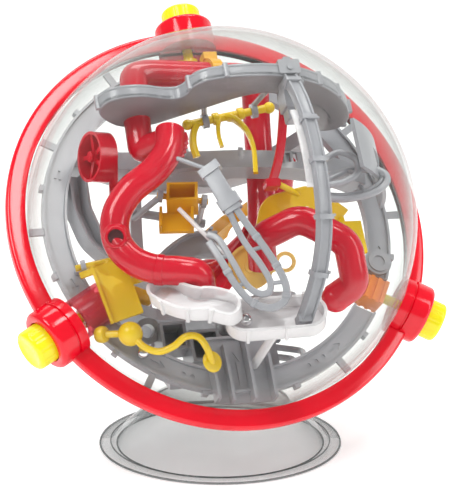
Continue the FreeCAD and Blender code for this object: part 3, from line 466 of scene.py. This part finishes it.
def clamp_ring(side):
    """Red ring half: flat glossy face, round outer edge, and a step over the flange."""
    profile = np.vstack([[(FLANGE_R + 0.3, 0.02), (RING_R, 0.02)], quarter(RING_R - 1.8, RING_H - 1.8, 1.8,
                        0, 90),
                         quarter(RING_IN + 0.5, RING_H - 0.5, 0.5, 90, 180, 4), [(RING_IN, 1.5),
                                 (FLANGE_R + 0.3, 1.5)]])
    profile[:, 1] *= side
    return turned(profile, n=256)


def radial(angle):
    """Direction out along the ring plane, in degrees from the sphere's X."""
    a = math.radians(angle)
    return np.array([math.cos(a), math.sin(a), 0.0])


def housing(angle):
    """Red cup: foot that follows the dome, groove, wall, rounded lip, and a bore for the knob."""
    foot_r = np.linspace(3.2, 15.0, 12)
    foot = np.column_stack([foot_r, np.sqrt(98.4 ** 2 - foot_r ** 2)])
    wall = [(15.0, 101.9), (14.7, 102.1), (14.1, 102.3), (14.1, 102.9), (14.7, 103.1), (15.0, 103.4)]
    lip = quarter(12.6, 110.6, 2.4, 0, 78, 9)
    bore = [(11.2, 113.0), (10.7, 112.9), (10.4, 112.5), (10.4, 104.6), (3.2, 104.6)]
    return turned(np.vstack([foot, wall, lip, bore]), axis=radial(angle), n=96)


def knob(angle):
    """Yellow cap: straight sides with grip grooves, a soft rim and a shallow dished face."""
    side = np.column_stack([np.full(14, 10.0), np.linspace(105.2, 119.2, 14)])
    rim = quarter(8.0, 120.0, 2.0, 0, 90, 9)
    face = [(7.4, 122.0), (6.9, 121.7), (3.0, 121.55), (0, 121.5)]
    under = [(0, 105.2), (9.6, 105.0)]
    profile = np.vstack([under, side, rim, face])

    def grip(a, r, h):
        """Twelve shallow grooves, faded out toward the rim and the foot."""
        dip = np.clip(np.cos(12 * a), 0.72, 1.0) - 0.72
        zone = np.clip((h - 112.6) / 1.2, 0, 1) * np.clip((120.6 - h) / 1.0, 0, 1) * (r > 8.5)
        return r - dip * 0.9 * zone
    return turned(profile, axis=radial(angle), n=144, closed=False, wobble=grip)


def stand_cone():
    """Clear cone: foot ring, sloping wall, and a rolled rim that follows the dome."""
    seat_r = np.linspace(31.9, 34.9, 6)
    seat = np.column_stack([seat_r, 114.8 - np.sqrt(98.25 ** 2 - seat_r ** 2)])
    outer = np.vstack([[(52.8, 0), (61.6, 0)], quarter(61.2, 0.8, 0.8, -60, 90, 7),
                       [(56.4, 1.75)], quarter(56.0, 2.9, 1.2, -90, -140, 4), [(50.2, 7.1), (43.2, 13.6),
                               (36.4, 20.0)],
                       [(35.3, 21.2)]])
    inner = [(31.8, 21.6), (32.4, 20.6), (34.0, 19.2), (41.4, 12.2), (48.2, 5.6)]
    profile = np.vstack([outer, seat[::-1], inner])
    shape = turned(profile, n=192)
    return shape


def upright(surfaces):
    """The stand isn't tilted, so its points go from the row frame to the sphere's."""
    return [((grid + np.array([*STAND_AXIS, 0.0]) - BALL_CENTRE) @ AXES, a, b) for grid, a, b in surfaces]


def stand_edges():
    """More opaque dark beads where the clear wall ends, painted shade for the dark edge lines of the clear
    plastic there: round the foot, along the foot's inner turn, and on the rim.
    """
    beads = []
    for r, z, thick in ((61.5, 0.85, 0.5), (56.1, 1.9, 0.35), (52.9, 0.5, 0.4), (35.2, 21.3, 0.4)):
        beads += turned(np.array([(r, z)]) + circle(thick, 12), n=192)
    return upright(beads)


# ---- maze pieces ----
VIEW_UP = (0.0, 0.0, 1.0)
BUCKET_PINS = (-38, 6, 24), (-14, 0, 27)
S_ROUTE = [(-32.5, 30.5, 44.5), (-35.5, 19.5, 45), (-43.5, 10, 43.5), (-55.5, 2, 39.5), (-63, -8, 34.5),
           (-64, -20, 32),
           (-58.5, -31, 33.5), (-49, -37.5, 36.5), (-38.5, -40.5, 40), (-30, -43, 39.5), (-27.5, -50, 32)]
ARCH_ROUTE = [(7, -36, 28), (5, -25, 38), (21, -22, 52), (41, -37, 55), (44, -55, 47), (36, -58, 37)]
TOP_ROUTE = [(-43, 46, 29), (-40, 71.5, 27), (27, 73, 17), (27.5, 56, 8), (27.5, 20, -6), (24, -2, -8)]
REAR_ROUTE = [(46, 40, -14), (48, 22, -44), (22, 4, -66), (-8, -6, -62), (-40, 4, -46), (-54, -8, -22)]


def firm(points, share=0.3):
    """Control points with extra ones beside each corner, so that a soft line keeps closer to them."""
    p = np.asarray(points, float)
    a = p[1:-1] + (p[:-2] - p[1:-1]) * share
    b = p[1:-1] + (p[2:] - p[1:-1]) * share
    inner = np.stack([a, p[1:-1], b], 1).reshape(-1, 3)
    return np.vstack([p[:1], inner, p[-1:]])


def collar(origin, axis, r, h, wall):
    """Raised ring with a soft lip and a well inside."""
    profile = np.vstack([[(0, 0.2), (r - wall, 0.2), (r - wall, h - 0.4), (r - wall + 0.4, h)],
                         quarter(r - 0.7, h - 0.7, 0.7, 90, 0, 5), [(r + 0.2, 0.0), (r + 1.4, -1.6), (0,
                                                                    -2.2)]])
    return turned(profile, origin, axis, 48, closed=False)


def ball_at(centre, r, n=48):
    """Sphere: a half circle turned about Z."""
    a = np.radians(np.linspace(-90, 90, 25))
    return turned(np.column_stack([r * np.cos(a), r * np.sin(a)]), centre, (0, 0, 1), n, closed=False)


def shell_pieces():
    """Domes, ring, stand, cups and caps."""
    make("dome_front_shell", dome(1), DOME_CLEAR, instead=("front_dome",))
    make("dome_rear_shell", dome(-1), DOME_CLEAR, instead=("rear_dome",))
    make("ring_front_half", clamp_ring(1), RED, instead=("ring_front",))
    make("ring_rear_half", clamp_ring(-1), RED, instead=("ring_rear",))
    make("stand_cone", upright(stand_cone()), STAND_CLEAR, body="stand", instead=("stand",))
    # Dark beads along the stand's edges: painted shade.
    make("stand_edge_shade_beads", stand_edges(), STAND_EDGE_SHADE, body="stand")
    for name, angle in (("top", 90), ("left", 210), ("right", 330)):
        make("cup_" + name, housing(angle), RED, instead=("housing_" + name,))
        make("cap_" + name, knob(angle), NEON, body=name + "_knob", instead=("knob_" + name,))


def tube_pieces():
    """The red tubes: circles carried along soft lines, hollow, with the S tube's hole, band and teeth."""
    axis = (-0.319, -0.367, 0.874)
    s_line = through(S_ROUTE, 150)
    s_parts = pipe(s_line, TUBE_R, TUBE_R - TUBE_WALL, VIEW_UP)
    hole = np.array([-64.0, -18.6, 32.6]) + unit(axis) * 6.5
    s_parts += collar(hole, axis, 5.2, 2.4, 1.5)
    seam = np.argmin(np.linalg.norm(s_line - np.array([-47, -40, 36]), axis=1))
    s_parts += pipe(s_line[seam - 2:seam + 3], TUBE_R + 0.45, TUBE_R - 0.4, VIEW_UP)
    teeth = s_line[6:24:3]
    for p in teeth:
        s_parts += swept(np.array([p + (6.0, 0.4, 1.0), p + (8.6, 0.8, 0.6)]), bar_section(1.3, 4.2, 0.3),
                         (0, 1, 0))
    make("s_tube_red", s_parts, MAZE_RED, instead=("s_tube",))
    # A dark disc at the bottom of the collar's well: painted shade, standing for the dark inside of the hole.
    make("s_tube_hole_shade", turned([(0, 0), (3.6, 0), (3.6, 0.1), (0, 0.1)], hole + unit(axis) * 0.3, axis, 32,
                               closed=False), HOLE_SHADE)
    make("arch_tube_red", pipe(soft_line(firm(ARCH_ROUTE, 0.5), 120), TUBE_R, TUBE_R - TUBE_WALL, (0.4, 0.2,
         0.3))
         + ball_at((36.5, -58.2, 38), TUBE_R - 0.1), MAZE_RED, instead=("arch_tube",))
    make("top_tube_red", pipe(soft_line(firm(TOP_ROUTE, 0.35), 160), TUBE_R, TUBE_R - TUBE_WALL, (0.1, 0.3,
         1.0)), MAZE_RED,
         instead=("top_tube",))
    make("inlet_red", pipe(soft_line(firm([(-43, 46, 29), (-43, 28.5, 27.8), (-33, 27.8, 39)]), 60),
                           TUBE_R - 0.5,
                           TUBE_R - 2.0, (1, 0,
                                          0.2), flare=1.6), MAZE_RED, instead=("bent_inlet",))
    make("rear_tube_red", pipe(soft_line(firm(REAR_ROUTE, 0.5), 140), TUBE_R, TUBE_R - TUBE_WALL, (0, 1,
         0.2)), MAZE_RED,
         instead=("rear_tube",))


def plate_caps(n, rows, base=0):
    """Two many-sided faces that close the first and last row of a slab."""
    return [list(range(base, base + n)), list(range(base + (rows - 1) * n, base + rows * n))]


def block(x0, x1, y0, y1, z0, z1, r=0.4):
    """Square bar from z0 to z1 with soft edges."""
    middle = ((x0 + x1) / 2, (y0 + y1) / 2)
    line = np.array([(middle[0], middle[1], z) for z in np.linspace(z0, z1, 3)])
    return swept(line, bar_section(y1 - y0, x1 - x0, r), (1, 0, 0))


def rod(a, b, r, n=16):
    """Straight round rod from a to b."""
    return swept(np.linspace(a, b, 4), circle(r, n), unit(np.cross(np.subtract(b, a), (0.3, 0.9, 0.2))))


def walled_tray(loop, up, height, wall, floor):
    """Open tray: a floor plate with a lipped wall round its outline."""
    up = unit(up)
    plate = slab(loop, (0.5, 0.0, 0.0, 0.5), (0.0, 0.4, floor - 0.2, floor), up)
    along = unit(np.roll(loop, -1, 0) - np.roll(loop, 1, 0))
    inward = unit(np.cross(np.broadcast_to(up, loop.shape), along))
    if ((loop.mean(0) - loop) * inward).sum() < 0:
        inward = -inward
    line = loop + inward * wall / 2
    side, _ = side_and_up(line, up, True)
    flip = -1.0 if (side * inward).sum() < 0 else 1.0
    section = rounded([(-wall / 2, 0.3), (wall / 2, 0.3), (wall / 2, height - 1.0), (wall / 2 + 0.1, height),
                       (-wall / 2 - 0.45, height), (-wall / 2 - 0.45, height - 1.0), (-wall / 2,
                               height - 1.3)], 0.3)
    section = section * np.array([flip, 1.0])
    return plate + swept(line, section, up, True), plate_caps(len(loop), 4)


def pill_loop(half, r, n=30):
    """Outline of a bar with round ends, flat on XY."""
    a = np.linspace(-np.pi / 2, np.pi / 2, n)
    right = np.column_stack([half + r * np.cos(a), r * np.sin(a), 0 * a])
    left = np.column_stack([-half - r * np.cos(a), -r * np.sin(a), 0 * a])
    return even(np.vstack([right, left]), 200, closed=True)


def ribbon_loop(line, r, up, n=16):
    """Outline of a band of half width r along a line, with round ends."""
    side, _ = side_and_up(line, up)
    along = unit(np.gradient(line, axis=0))
    a = np.linspace(np.pi / 2, -np.pi / 2, n)[1:-1, None]
    far = line[-1] + r * (side[-1] * np.sin(a) + along[-1] * np.cos(a))
    near = line[0] - r * (side[0] * np.sin(a) + along[0] * np.cos(a))
    return even(np.vstack([line + side * r, far, (line - side * r)[::-1], near]), 240, closed=True)


TRAY_O = np.array([3.5, -69.5, 39.0])
TRAY_N = unit((-0.206, 0.328, 0.921))
TRAY_X = unit(unit((0.995, -0.09, 0.25)) - TRAY_N * (unit((0.995, -0.09, 0.25)) @ TRAY_N))
TRAY_AXES = np.stack([TRAY_X, np.cross(TRAY_N, TRAY_X), TRAY_N])
S_TRAY_ROUTE = [(-45, -50, 31), (-41, -56, 36), (-35, -60, 39.6), (-27.5, -61.5, 41.4), (-20.5, -64.5, 42.8)]
S_TRAY_N = (-0.35, 0.42, 0.84)


def tray_pieces():
    """The two milky trays with their feet, and the two steel balls."""
    surfaces, caps = walled_tray(pill_loop(14, 9.6) @ TRAY_AXES + TRAY_O, TRAY_N, 8.5, 1.2, 1.3)
    for x, y in ((-14, -9.9), (4, -9.9), (14, 9.9), (-6, 9.9)):
        foot = TRAY_O + np.array([x, y, 0.2]) @ TRAY_AXES
        surfaces += swept(np.array([foot, foot + TRAY_N * 9.1]), bar_section(1.8, 1.6, 0.4), TRAY_X)
    surfaces += rod((3, -76.5, -2), (3, -73.0, 38.5), 2.2)
    make("tray_pill", surfaces, MILKY, instead=("pill_tray",), faces=caps)
    line = through(S_TRAY_ROUTE, 70)
    surfaces, caps = walled_tray(ribbon_loop(line, 7.2, S_TRAY_N), S_TRAY_N, 8.2, 1.2, 1.3)
    for k in (14, 34, 52):
        side, high = side_and_up(line, S_TRAY_N)
        foot = line[k] - side[k] * 7.6
        surfaces += swept(np.array([foot, foot + high[k] * 8.8]), bar_section(1.8, 1.6, 0.4), side[k])
    make("tray_s", surfaces, MILKY, instead=("s_tray",), faces=caps)
    spot = TRAY_O + np.array([-14, 0, 1.3 + 3.175 + 0.05]) @ TRAY_AXES
    make("steel_ball_tray", ball_at(spot, 3.175), STEEL, body="tray_ball",
         instead=("tray_ball",))
    a = math.radians(232)
    make("steel_ball_track", ball_at((84 * math.cos(a), 84 * math.sin(a), 3.225), 3.175), STEEL,
         body="track_ball", instead=("track_ball",))


HAIR_N = (-0.464, -0.140, 0.874)
HAIR_OUT = [(-13, -15, 57), (-8, -26.5, 57.5), (-1, -41, 58.3), (4.5, -55, 57.6), (4.5, -63.5, 54.8), (-2,
            -66.2, 51.6),
            (-9.8, -62, 49.2), (-15.6, -52.4, 47.8), (-20.2, -40.4, 47.7), (-24.2, -29.4, 46.3)]
HAIR_IN = [(-16, -14, 55.6), (-11, -32, 55.2), (-5, -45, 55.6), (-1.4, -54, 55), (-2.4, -59, 53.4), (-7,
           -58.6, 51.6),
           (-11.5, -53, 50.2), (-15.7, -41.7, 50), (-20, -29.7, 48.8), (-24, -25.6, 46.2)]


def hairpin_piece():
    """Handle pad and two nested rails that turn back under it, tied by short rungs, on a thin arm."""
    outer, inner = through(HAIR_OUT, 130), through(HAIR_IN, 120)
    parts = swept(outer, bar_section(3.4, 3.2, 0.7), HAIR_N) + swept(inner, bar_section(3.0, 3.0, 0.7),
                                                                     HAIR_N)
    parts += swept(np.array([(-20.8, 4.2, 55.1), (-17, -7, 56.1), (-12.8, -19, 57)]), bar_section(8.6, 3.8,
                   0.7), HAIR_N)
    parts += swept(np.array([(-21.2, 5.4, 55), (-19.6, 1.4, 55.6)]), bar_section(11, 5.4, 0.7), HAIR_N)
    parts += swept(np.array([(-15.4, -11.6, 56.5), (-13.4, -16.8, 57)]), bar_section(10.6, 5.0, 0.7), HAIR_N)
    for a, b in (((-2.4, -38, 58), (-8, -38.6, 55.4)), ((3.6, -56, 57.2), (-1.8, -55.4, 55)),
                 ((-15.6, -52.4, 47.8), (-11.5, -53, 50.2)), ((-21, -38, 47.6), (-16.8, -38.4, 49.8))):
        parts += rod(a, b, 1.0)
    for k in (24, 44, 62, 84, 108):
        side, high = side_and_up(outer, HAIR_N)
        parts += swept(np.array([outer[k] - side[k] * 2.0, outer[k] + side[k] * 2.0]), bar_section(2.2, 4.0,
                       0.5), high[k])
    parts += rod((-21, 3.6, 55.2), (-37.6, 16.8, 46.6), 1.1) + ball_at((-37.6, 17.0, 46.8), 1.9, 24)
    make("rails_hairpin", parts, GREY, instead=("hairpin_rails",))


BOW_ROUTE = [(23, 45.5, 68.5), (23, 38, 73), (23, 26, 78), (23, 10, 81.5), (23, -8, 81.6), (23, -24, 78.4),
             (22.6, -39, 72.2),
             (20.6, -53, 63.4), (17.4, -64, 54.6), (14.2, -72.5, 46.5)]


def bow_piece():
    """I-section rail that bends down from the deck's bracket into the lower tray, with clips."""
    line = through(BOW_ROUTE, 110)
    beam = rounded([(-2.5, -3.2), (2.5, -3.2), (2.5, -2.1), (1.5, -1.9), (1.5, 1.9), (2.5, 2.1), (2.5, 3.2),
                    (-2.5, 3.2),
                    (-2.5, 2.1), (-1.5, 1.9), (-1.5, -1.9), (-2.5, -2.1)], 0.35)
    parts = swept(line, beam, (1, 0.12, -0.1))
    for k in (5, 26, 44, 66, 88):
        parts += swept(line[k:k + 3], bar_section(6.2, 8.0, 0.7), (1, 0.12, -0.1))
        parts += swept(line[k:k + 2] + (4.6, 0, 0), bar_section(2.0, 2.2, 0.4), (1, 0, 0))
    parts += block(10.8, 17.2, -73.5, -69.5, 45, 50.5, 0.7)
    parts += block(17.5, 28.5, 45, 52.4, 66.5, 72.6, 0.9) + block(19.5, 26.5, 40, 46, 62, 70.6, 0.8)
    parts += block(19.5, 26.5, 30, 41, 58, 67.6, 0.8) + block(20.5, 25.5, 24, 31, 59, 65.5, 0.8)
    parts += block(21, 25, 51.8, 54.6, 68.6, 71.2, 0.7)
    for y in (48, 42):
        parts += turned(rounded([(0.001, 0), (1.5, 0), (1.5, 1.2), (0.001, 1.2)], 0.3), (23, y, 72.4
                        if y > 45 else 70.4),
                        (0, 0, 1), 20)
    make("rail_arc", parts, GREY, instead=("arc_rail",))
    s = np.radians(np.linspace(16, -13, 30))
    strip = np.column_stack([np.full(30, 18.2), 80.5 * np.sin(s), 80.5 * np.cos(s)])
    make("strip_white", swept(strip, bar_section(1.2, 3.6, 0.4), (1, 0, 0)), MILKY,
         instead=("guide_strip",))


def wire_pieces():
    """White rod, two looped grey wires beside the deck's end, and the yellow S rod with its ball and plate."""
    make("rod_white", rod((-33, -8, 38), (-18, -37, 48), 1.1), MILKY, instead=("white_rod",))
    low = through([(34, -11, 50), (48, -12.5, 50.5), (63, -9.6, 51), (70.4, -3.8, 51.4), (68, 1.8, 50.4),
                   (56, 3.4, 49),
                   (44.5, 0.6, 48), (36, -4, 46)], 110)
    high = through([(34, -6, 52), (46, -5, 54), (54, -0.6, 54.6), (55, 7, 53.6), (48, 11.6, 52.4), (40, 9,
                   51)], 90)
    parts = swept(low, circle(1.7, 20), (0, 1, 0.2)) + swept(high, circle(1.6, 20), (0, 1, 0.2))
    parts += swept(low * 0.93 + (3.6, 2.0, 1.5), circle(1.4, 20), (0, 1, 0.2))
    parts += rod((58, -11, 50.8), (57, -5, 48), 1.2) + rod((69.8, -1, 51.2), (66, 2, 47.6), 1.2)
    parts += rod((52, 3, 48.6), (53.6, -1, 54.4), 1.2)
    make("rods_looped", parts, GREY, instead=("looped_rods",))
    wire = through([(-70.6, -56.6, 5.4), (-65, -58, 9), (-58.9, -60, 12.8), (-54.6, -67.4, 15), (-48.4,
                   -71.4, 17.6),
                    (-42, -70.6, 21.4), (-36.9, -68, 26), (-31.2, -69.2, 27.4), (-27, -74.4, 24.6), (-24,
                            -79.4, 18.4)], 150)
    parts = swept(wire, circle(1.7, 20), (0.3, 0.2, 1)) + ball_at((-59, -59.6, 12), 5.9)
    parts += turned(rounded([(0.001, -2.4), (3.6, -2.4), (4.2, 0), (3.6, 2.4), (0.001, 2.4)], 0.6),
                    (-71.0, -56.6, 5.6), (0.5, -0.2, 0.6), 40)
    parts += turned(rounded([(0.001, -1.3), (4.6, -1.3), (5.4, 0), (4.6, 1.3), (0.001, 1.3)], 0.5),
                    (-23.6, -78.6, 18.4), (0.3, -0.1, 0.9), 40)
    parts += rod((-59, -59.6, 12), (-57, -57.6, -1), 1.8)
    make("rod_s_yellow", parts, LEMON, instead=("s_rod",))
    hung = through([(22.5, 36, 57.5), (21.8, 28, 53), (20.8, 19, 47.6), (19, 11, 42.4), (16.8, 4.4, 37.4)],
                   50)
    parts = swept(hung, bar_section(2.2, 4.2, 0.5), (0.95, -0.2, -0.25)) + block(12.8, 20.2, 1.2, 5.3, 34,
            39.6, 0.7)
    make("strip_red", parts, MAZE_RED, instead=("red_strip",))


def yoke_piece():
    """Grey yoke: two eyes for the bucket's pins, their posts and bar, and a side trough below."""
    a, b = np.array(BUCKET_PINS[0], float), np.array(BUCKET_PINS[1], float)
    d = unit(b - a)
    parts = []
    for k, foot in ((1.5, (-42, 8, -6)), (23.0, (-9, 4, -6))):
        c = a + d * k
        parts += turned(rounded([(1.75, -1.3), (3.3, -1.3), (3.3, 1.3), (1.75, 1.3)], 0.35), c, d, 36)
        parts += rod(c - (0, 0, 2.6), foot, 1.6)
    parts += rod((-50, 13, -6), (-6, 3, -6), 2.2)
    line = through([(-40, -27, -8), (-33, -23, -3), (-26, -18.5, 3), (-18, -16, 9), (-8, -17.5, 12)], 60)
    parts += swept(line, trough_section(13, 6, 1.4), (-0.25, -0.1, 0.96))
    for k in (8, 24, 40, 54):
        parts += rod(line[k] + (0, 7.2, 1.5), line[k] + (0, 7.2, 6.5), 0.9)
    parts += swept(through([(-34, 20, 6), (-26, 19, 9.5), (-14, 19, 13), (-3, 17, 15)], 40), bar_section(13,
                   1.8, 0.5),
                   (0.2, 0.5, 0.84))
    make("yoke_bucket", parts, GREY, instead=("bucket_yoke",))


def lever_piece():
    """Yellow rocking lever: knobbly bar, a broad arched blade and two thin fingers."""
    a, b = np.array([24, 46, 35.0]), np.array([-17, 42, 27.0])
    bar = a + (b - a) * np.linspace(0, 1, 80)[:, None]
    parts = swept(bar, circle(2.0, 24), (0, 1, 0.1)) + ball_at(a, 2.9, 30) + ball_at(b, 2.7, 30)
    for k in (28, 52):
        parts += turned(rounded([(0.001, -1.6), (3.0, -1.6), (3.0, 1.6), (0.001, 1.6)], 0.5), bar[k], b - a,
                        32)
    blade = through([(2.5, 43.4, 31), (5.6, 40, 34.4), (9.4, 32, 36.8), (10.8, 22, 37), (10.2, 10.6, 35)], 60)
    thin = through([(-1, 43.6, 30.4), (-2.8, 39, 31), (-3.5, 33, 31), (-3, 27.4, 31)], 40)
    leg = through([(-12, 42.4, 28), (-15, 37, 27.6), (-16, 31, 27), (-15, 24.6, 26)], 40)
    parts += swept(blade, bar_section(2.4, 4.6, 0.6), (-0.35, 0.1, 0.9))
    parts += swept(thin, bar_section(2.0, 3.2, 0.5), (-0.35, 0.1, 0.9)) + swept(leg, bar_section(3, 3, 0.6),
            (0.2, 0, 1))
    make("lever_branched", parts, LEMON, body="branch_lever", instead=("branch_lever",))


DECK_ROUTE = [(-66, 41), (-62, 52), (-47, 55), (-33, 50), (-25, 52), (-23, 67), (-9, 72), (10, 73), (26, 70),
              (42, 62),
              (57, 49), (69, 31), (72, 15), (60, 10), (49, 17), (42, 31), (30, 47), (20, 56), (6, 54), (-10,
                      42),
              (-24, 32), (-36, 23), (-50, 22), (-60, 30)]


def deck_piece():
    """S-shaped plate: soft closed outline, floor plate, lipped wall, nubs, and an arrow on its underside."""
    loop = soft_loop([(x, 44.0, z) for x, z in DECK_ROUTE], 300)
    surfaces, caps = walled_tray(loop, (0, 1, 0), 6.4, 1.5, 2.0)
    for x, z in ((-65.2, 42), (-24.2, 60), (-9, 71.4), (26, 69), (42, 61), (56.4, 48.2), (68.4, 31), (70.6,
                 16)):
        surfaces += swept(np.array([(x, 44.1, z), (x, 51.2, z)]), bar_section(2.4, 2.4, 0.4), (1, 0, 0))
    make("deck_s_plate", surfaces, GREY, instead=("upper_deck",), faces=caps)
    # A thin darker grey skin just under the floor plate: painted shade of the deck's underside.
    skin = slab(loop * np.array([0.985, 1.0, 0.985]) + np.array([0.06, -44.1 + 43.75, 0.7]), (0.3, 0.0, 0.0,
                0.3),
                (0.0, 0.1, 0.2, 0.3), (0, 1, 0))
    make("deck_underside", skin, DECK_UNDER_SHADE, faces=plate_caps(len(loop), 4))
    bend = soft_line([(44, 43.9, 42), (55, 43.9, 37), (61, 43.9, 22)], 30)
    mark = swept(bend, bar_section(1.1, 0.5, 0.1), (0, 1, 0))
    mark += swept(np.array([(57.5, 43.9, 26), (61.4, 43.9, 20.6)]), bar_section(1.1, 0.5, 0.1), (0, 1, 0))
    mark += swept(np.array([(64.5, 43.9, 26.5), (61.2, 43.9, 20.6)]), bar_section(1.1, 0.5, 0.1), (0, 1, 0))
    make("deck_arrow", mark, DARK_GREY)


def stage_and_light():
    """White sweep behind and below, dim room, three large soft boxes and a small one."""
    turn = np.radians(np.linspace(0, 90, 13))
    curve = np.column_stack([1.6 + 0.8 * np.sin(turn), 0.8 - 0.8 * np.cos(turn)])
    profile = np.vstack([[(-6.0, 0.0), (0.0, 0.0)], curve, [(2.4, 3.0)]])
    verts = [(x, y, z) for y, z in profile.tolist() for x in (-6.0, 6.0)]
    faces = [(2 * k, 2 * k + 1, 2 * k + 3, 2 * k + 2) for k in range(len(profile) - 1)]
    sweep = bpy.data.meshes.new("floor")
    sweep.from_pydata(verts, [], faces)
    obj = bpy.data.objects.new("floor", sweep)
    bpy.context.scene.collection.objects.link(obj)
    obj.data.materials.append(stage_paint("floor_white"))
    world = bpy.data.worlds.new("studio")
    world.use_nodes = True
    back = world.node_tree.nodes["Background"]
    back.inputs["Color"].default_value = (1, 1, 1, 1)
    back.inputs["Strength"].default_value = 0.40
    bpy.context.scene.world = world
    for name, place, power, wide, tall in (("key", (-0.8, -0.75, 1.25), 13, 0.7, 0.7),
                                           ("side", (1.2, -0.5, 0.75), 5, 0.35, 1.0),
                                           ("above", (0.1, 0.35, 1.5), 11, 1.2, 0.5),
                                           ("glint", (0.34, -0.42, 1.22), 3.2, 0.30, 0.30)):
        lamp = bpy.data.lights.new(name, "AREA")
        lamp.shape, lamp.energy, lamp.size, lamp.size_y = "RECTANGLE", power, wide, tall
        rig = bpy.data.objects.new(name, lamp)
        rig.location = place
        aim = Vector((0, 0, 0.1)) - Vector(place)
        rig.rotation_euler = aim.to_track_quat("-Z", "Y").to_euler()
        bpy.context.scene.collection.objects.link(rig)


def camera():
    """Level camera a little above the sphere."""
    cam = bpy.data.cameras.new("camera")
    cam.lens, cam.sensor_width = 132.97, 36.0
    cam.clip_start, cam.clip_end = 0.05, 20.0
    rig = bpy.data.objects.new("camera", cam)
    eye, aim = Vector((-0.00487, -0.8901, 0.3226)), Vector((-0.00267, 0.0, 0.1023))
    rig.location = eye
    rig.rotation_euler = (aim - eye).to_track_quat("-Z", "Y").to_euler()
    bpy.context.scene.collection.objects.link(rig)
    bpy.context.scene.camera = rig


camera()
stage_and_light()
paint_cad_nodes()
shell_pieces()
tube_pieces()
tray_pieces()
hairpin_piece()
bow_piece()
wire_pieces()
lever_piece()
yoke_piece()
deck_piece()
bpy.context.scene.view_settings.view_transform = "Standard"  # keeps the white floor white and the red pure
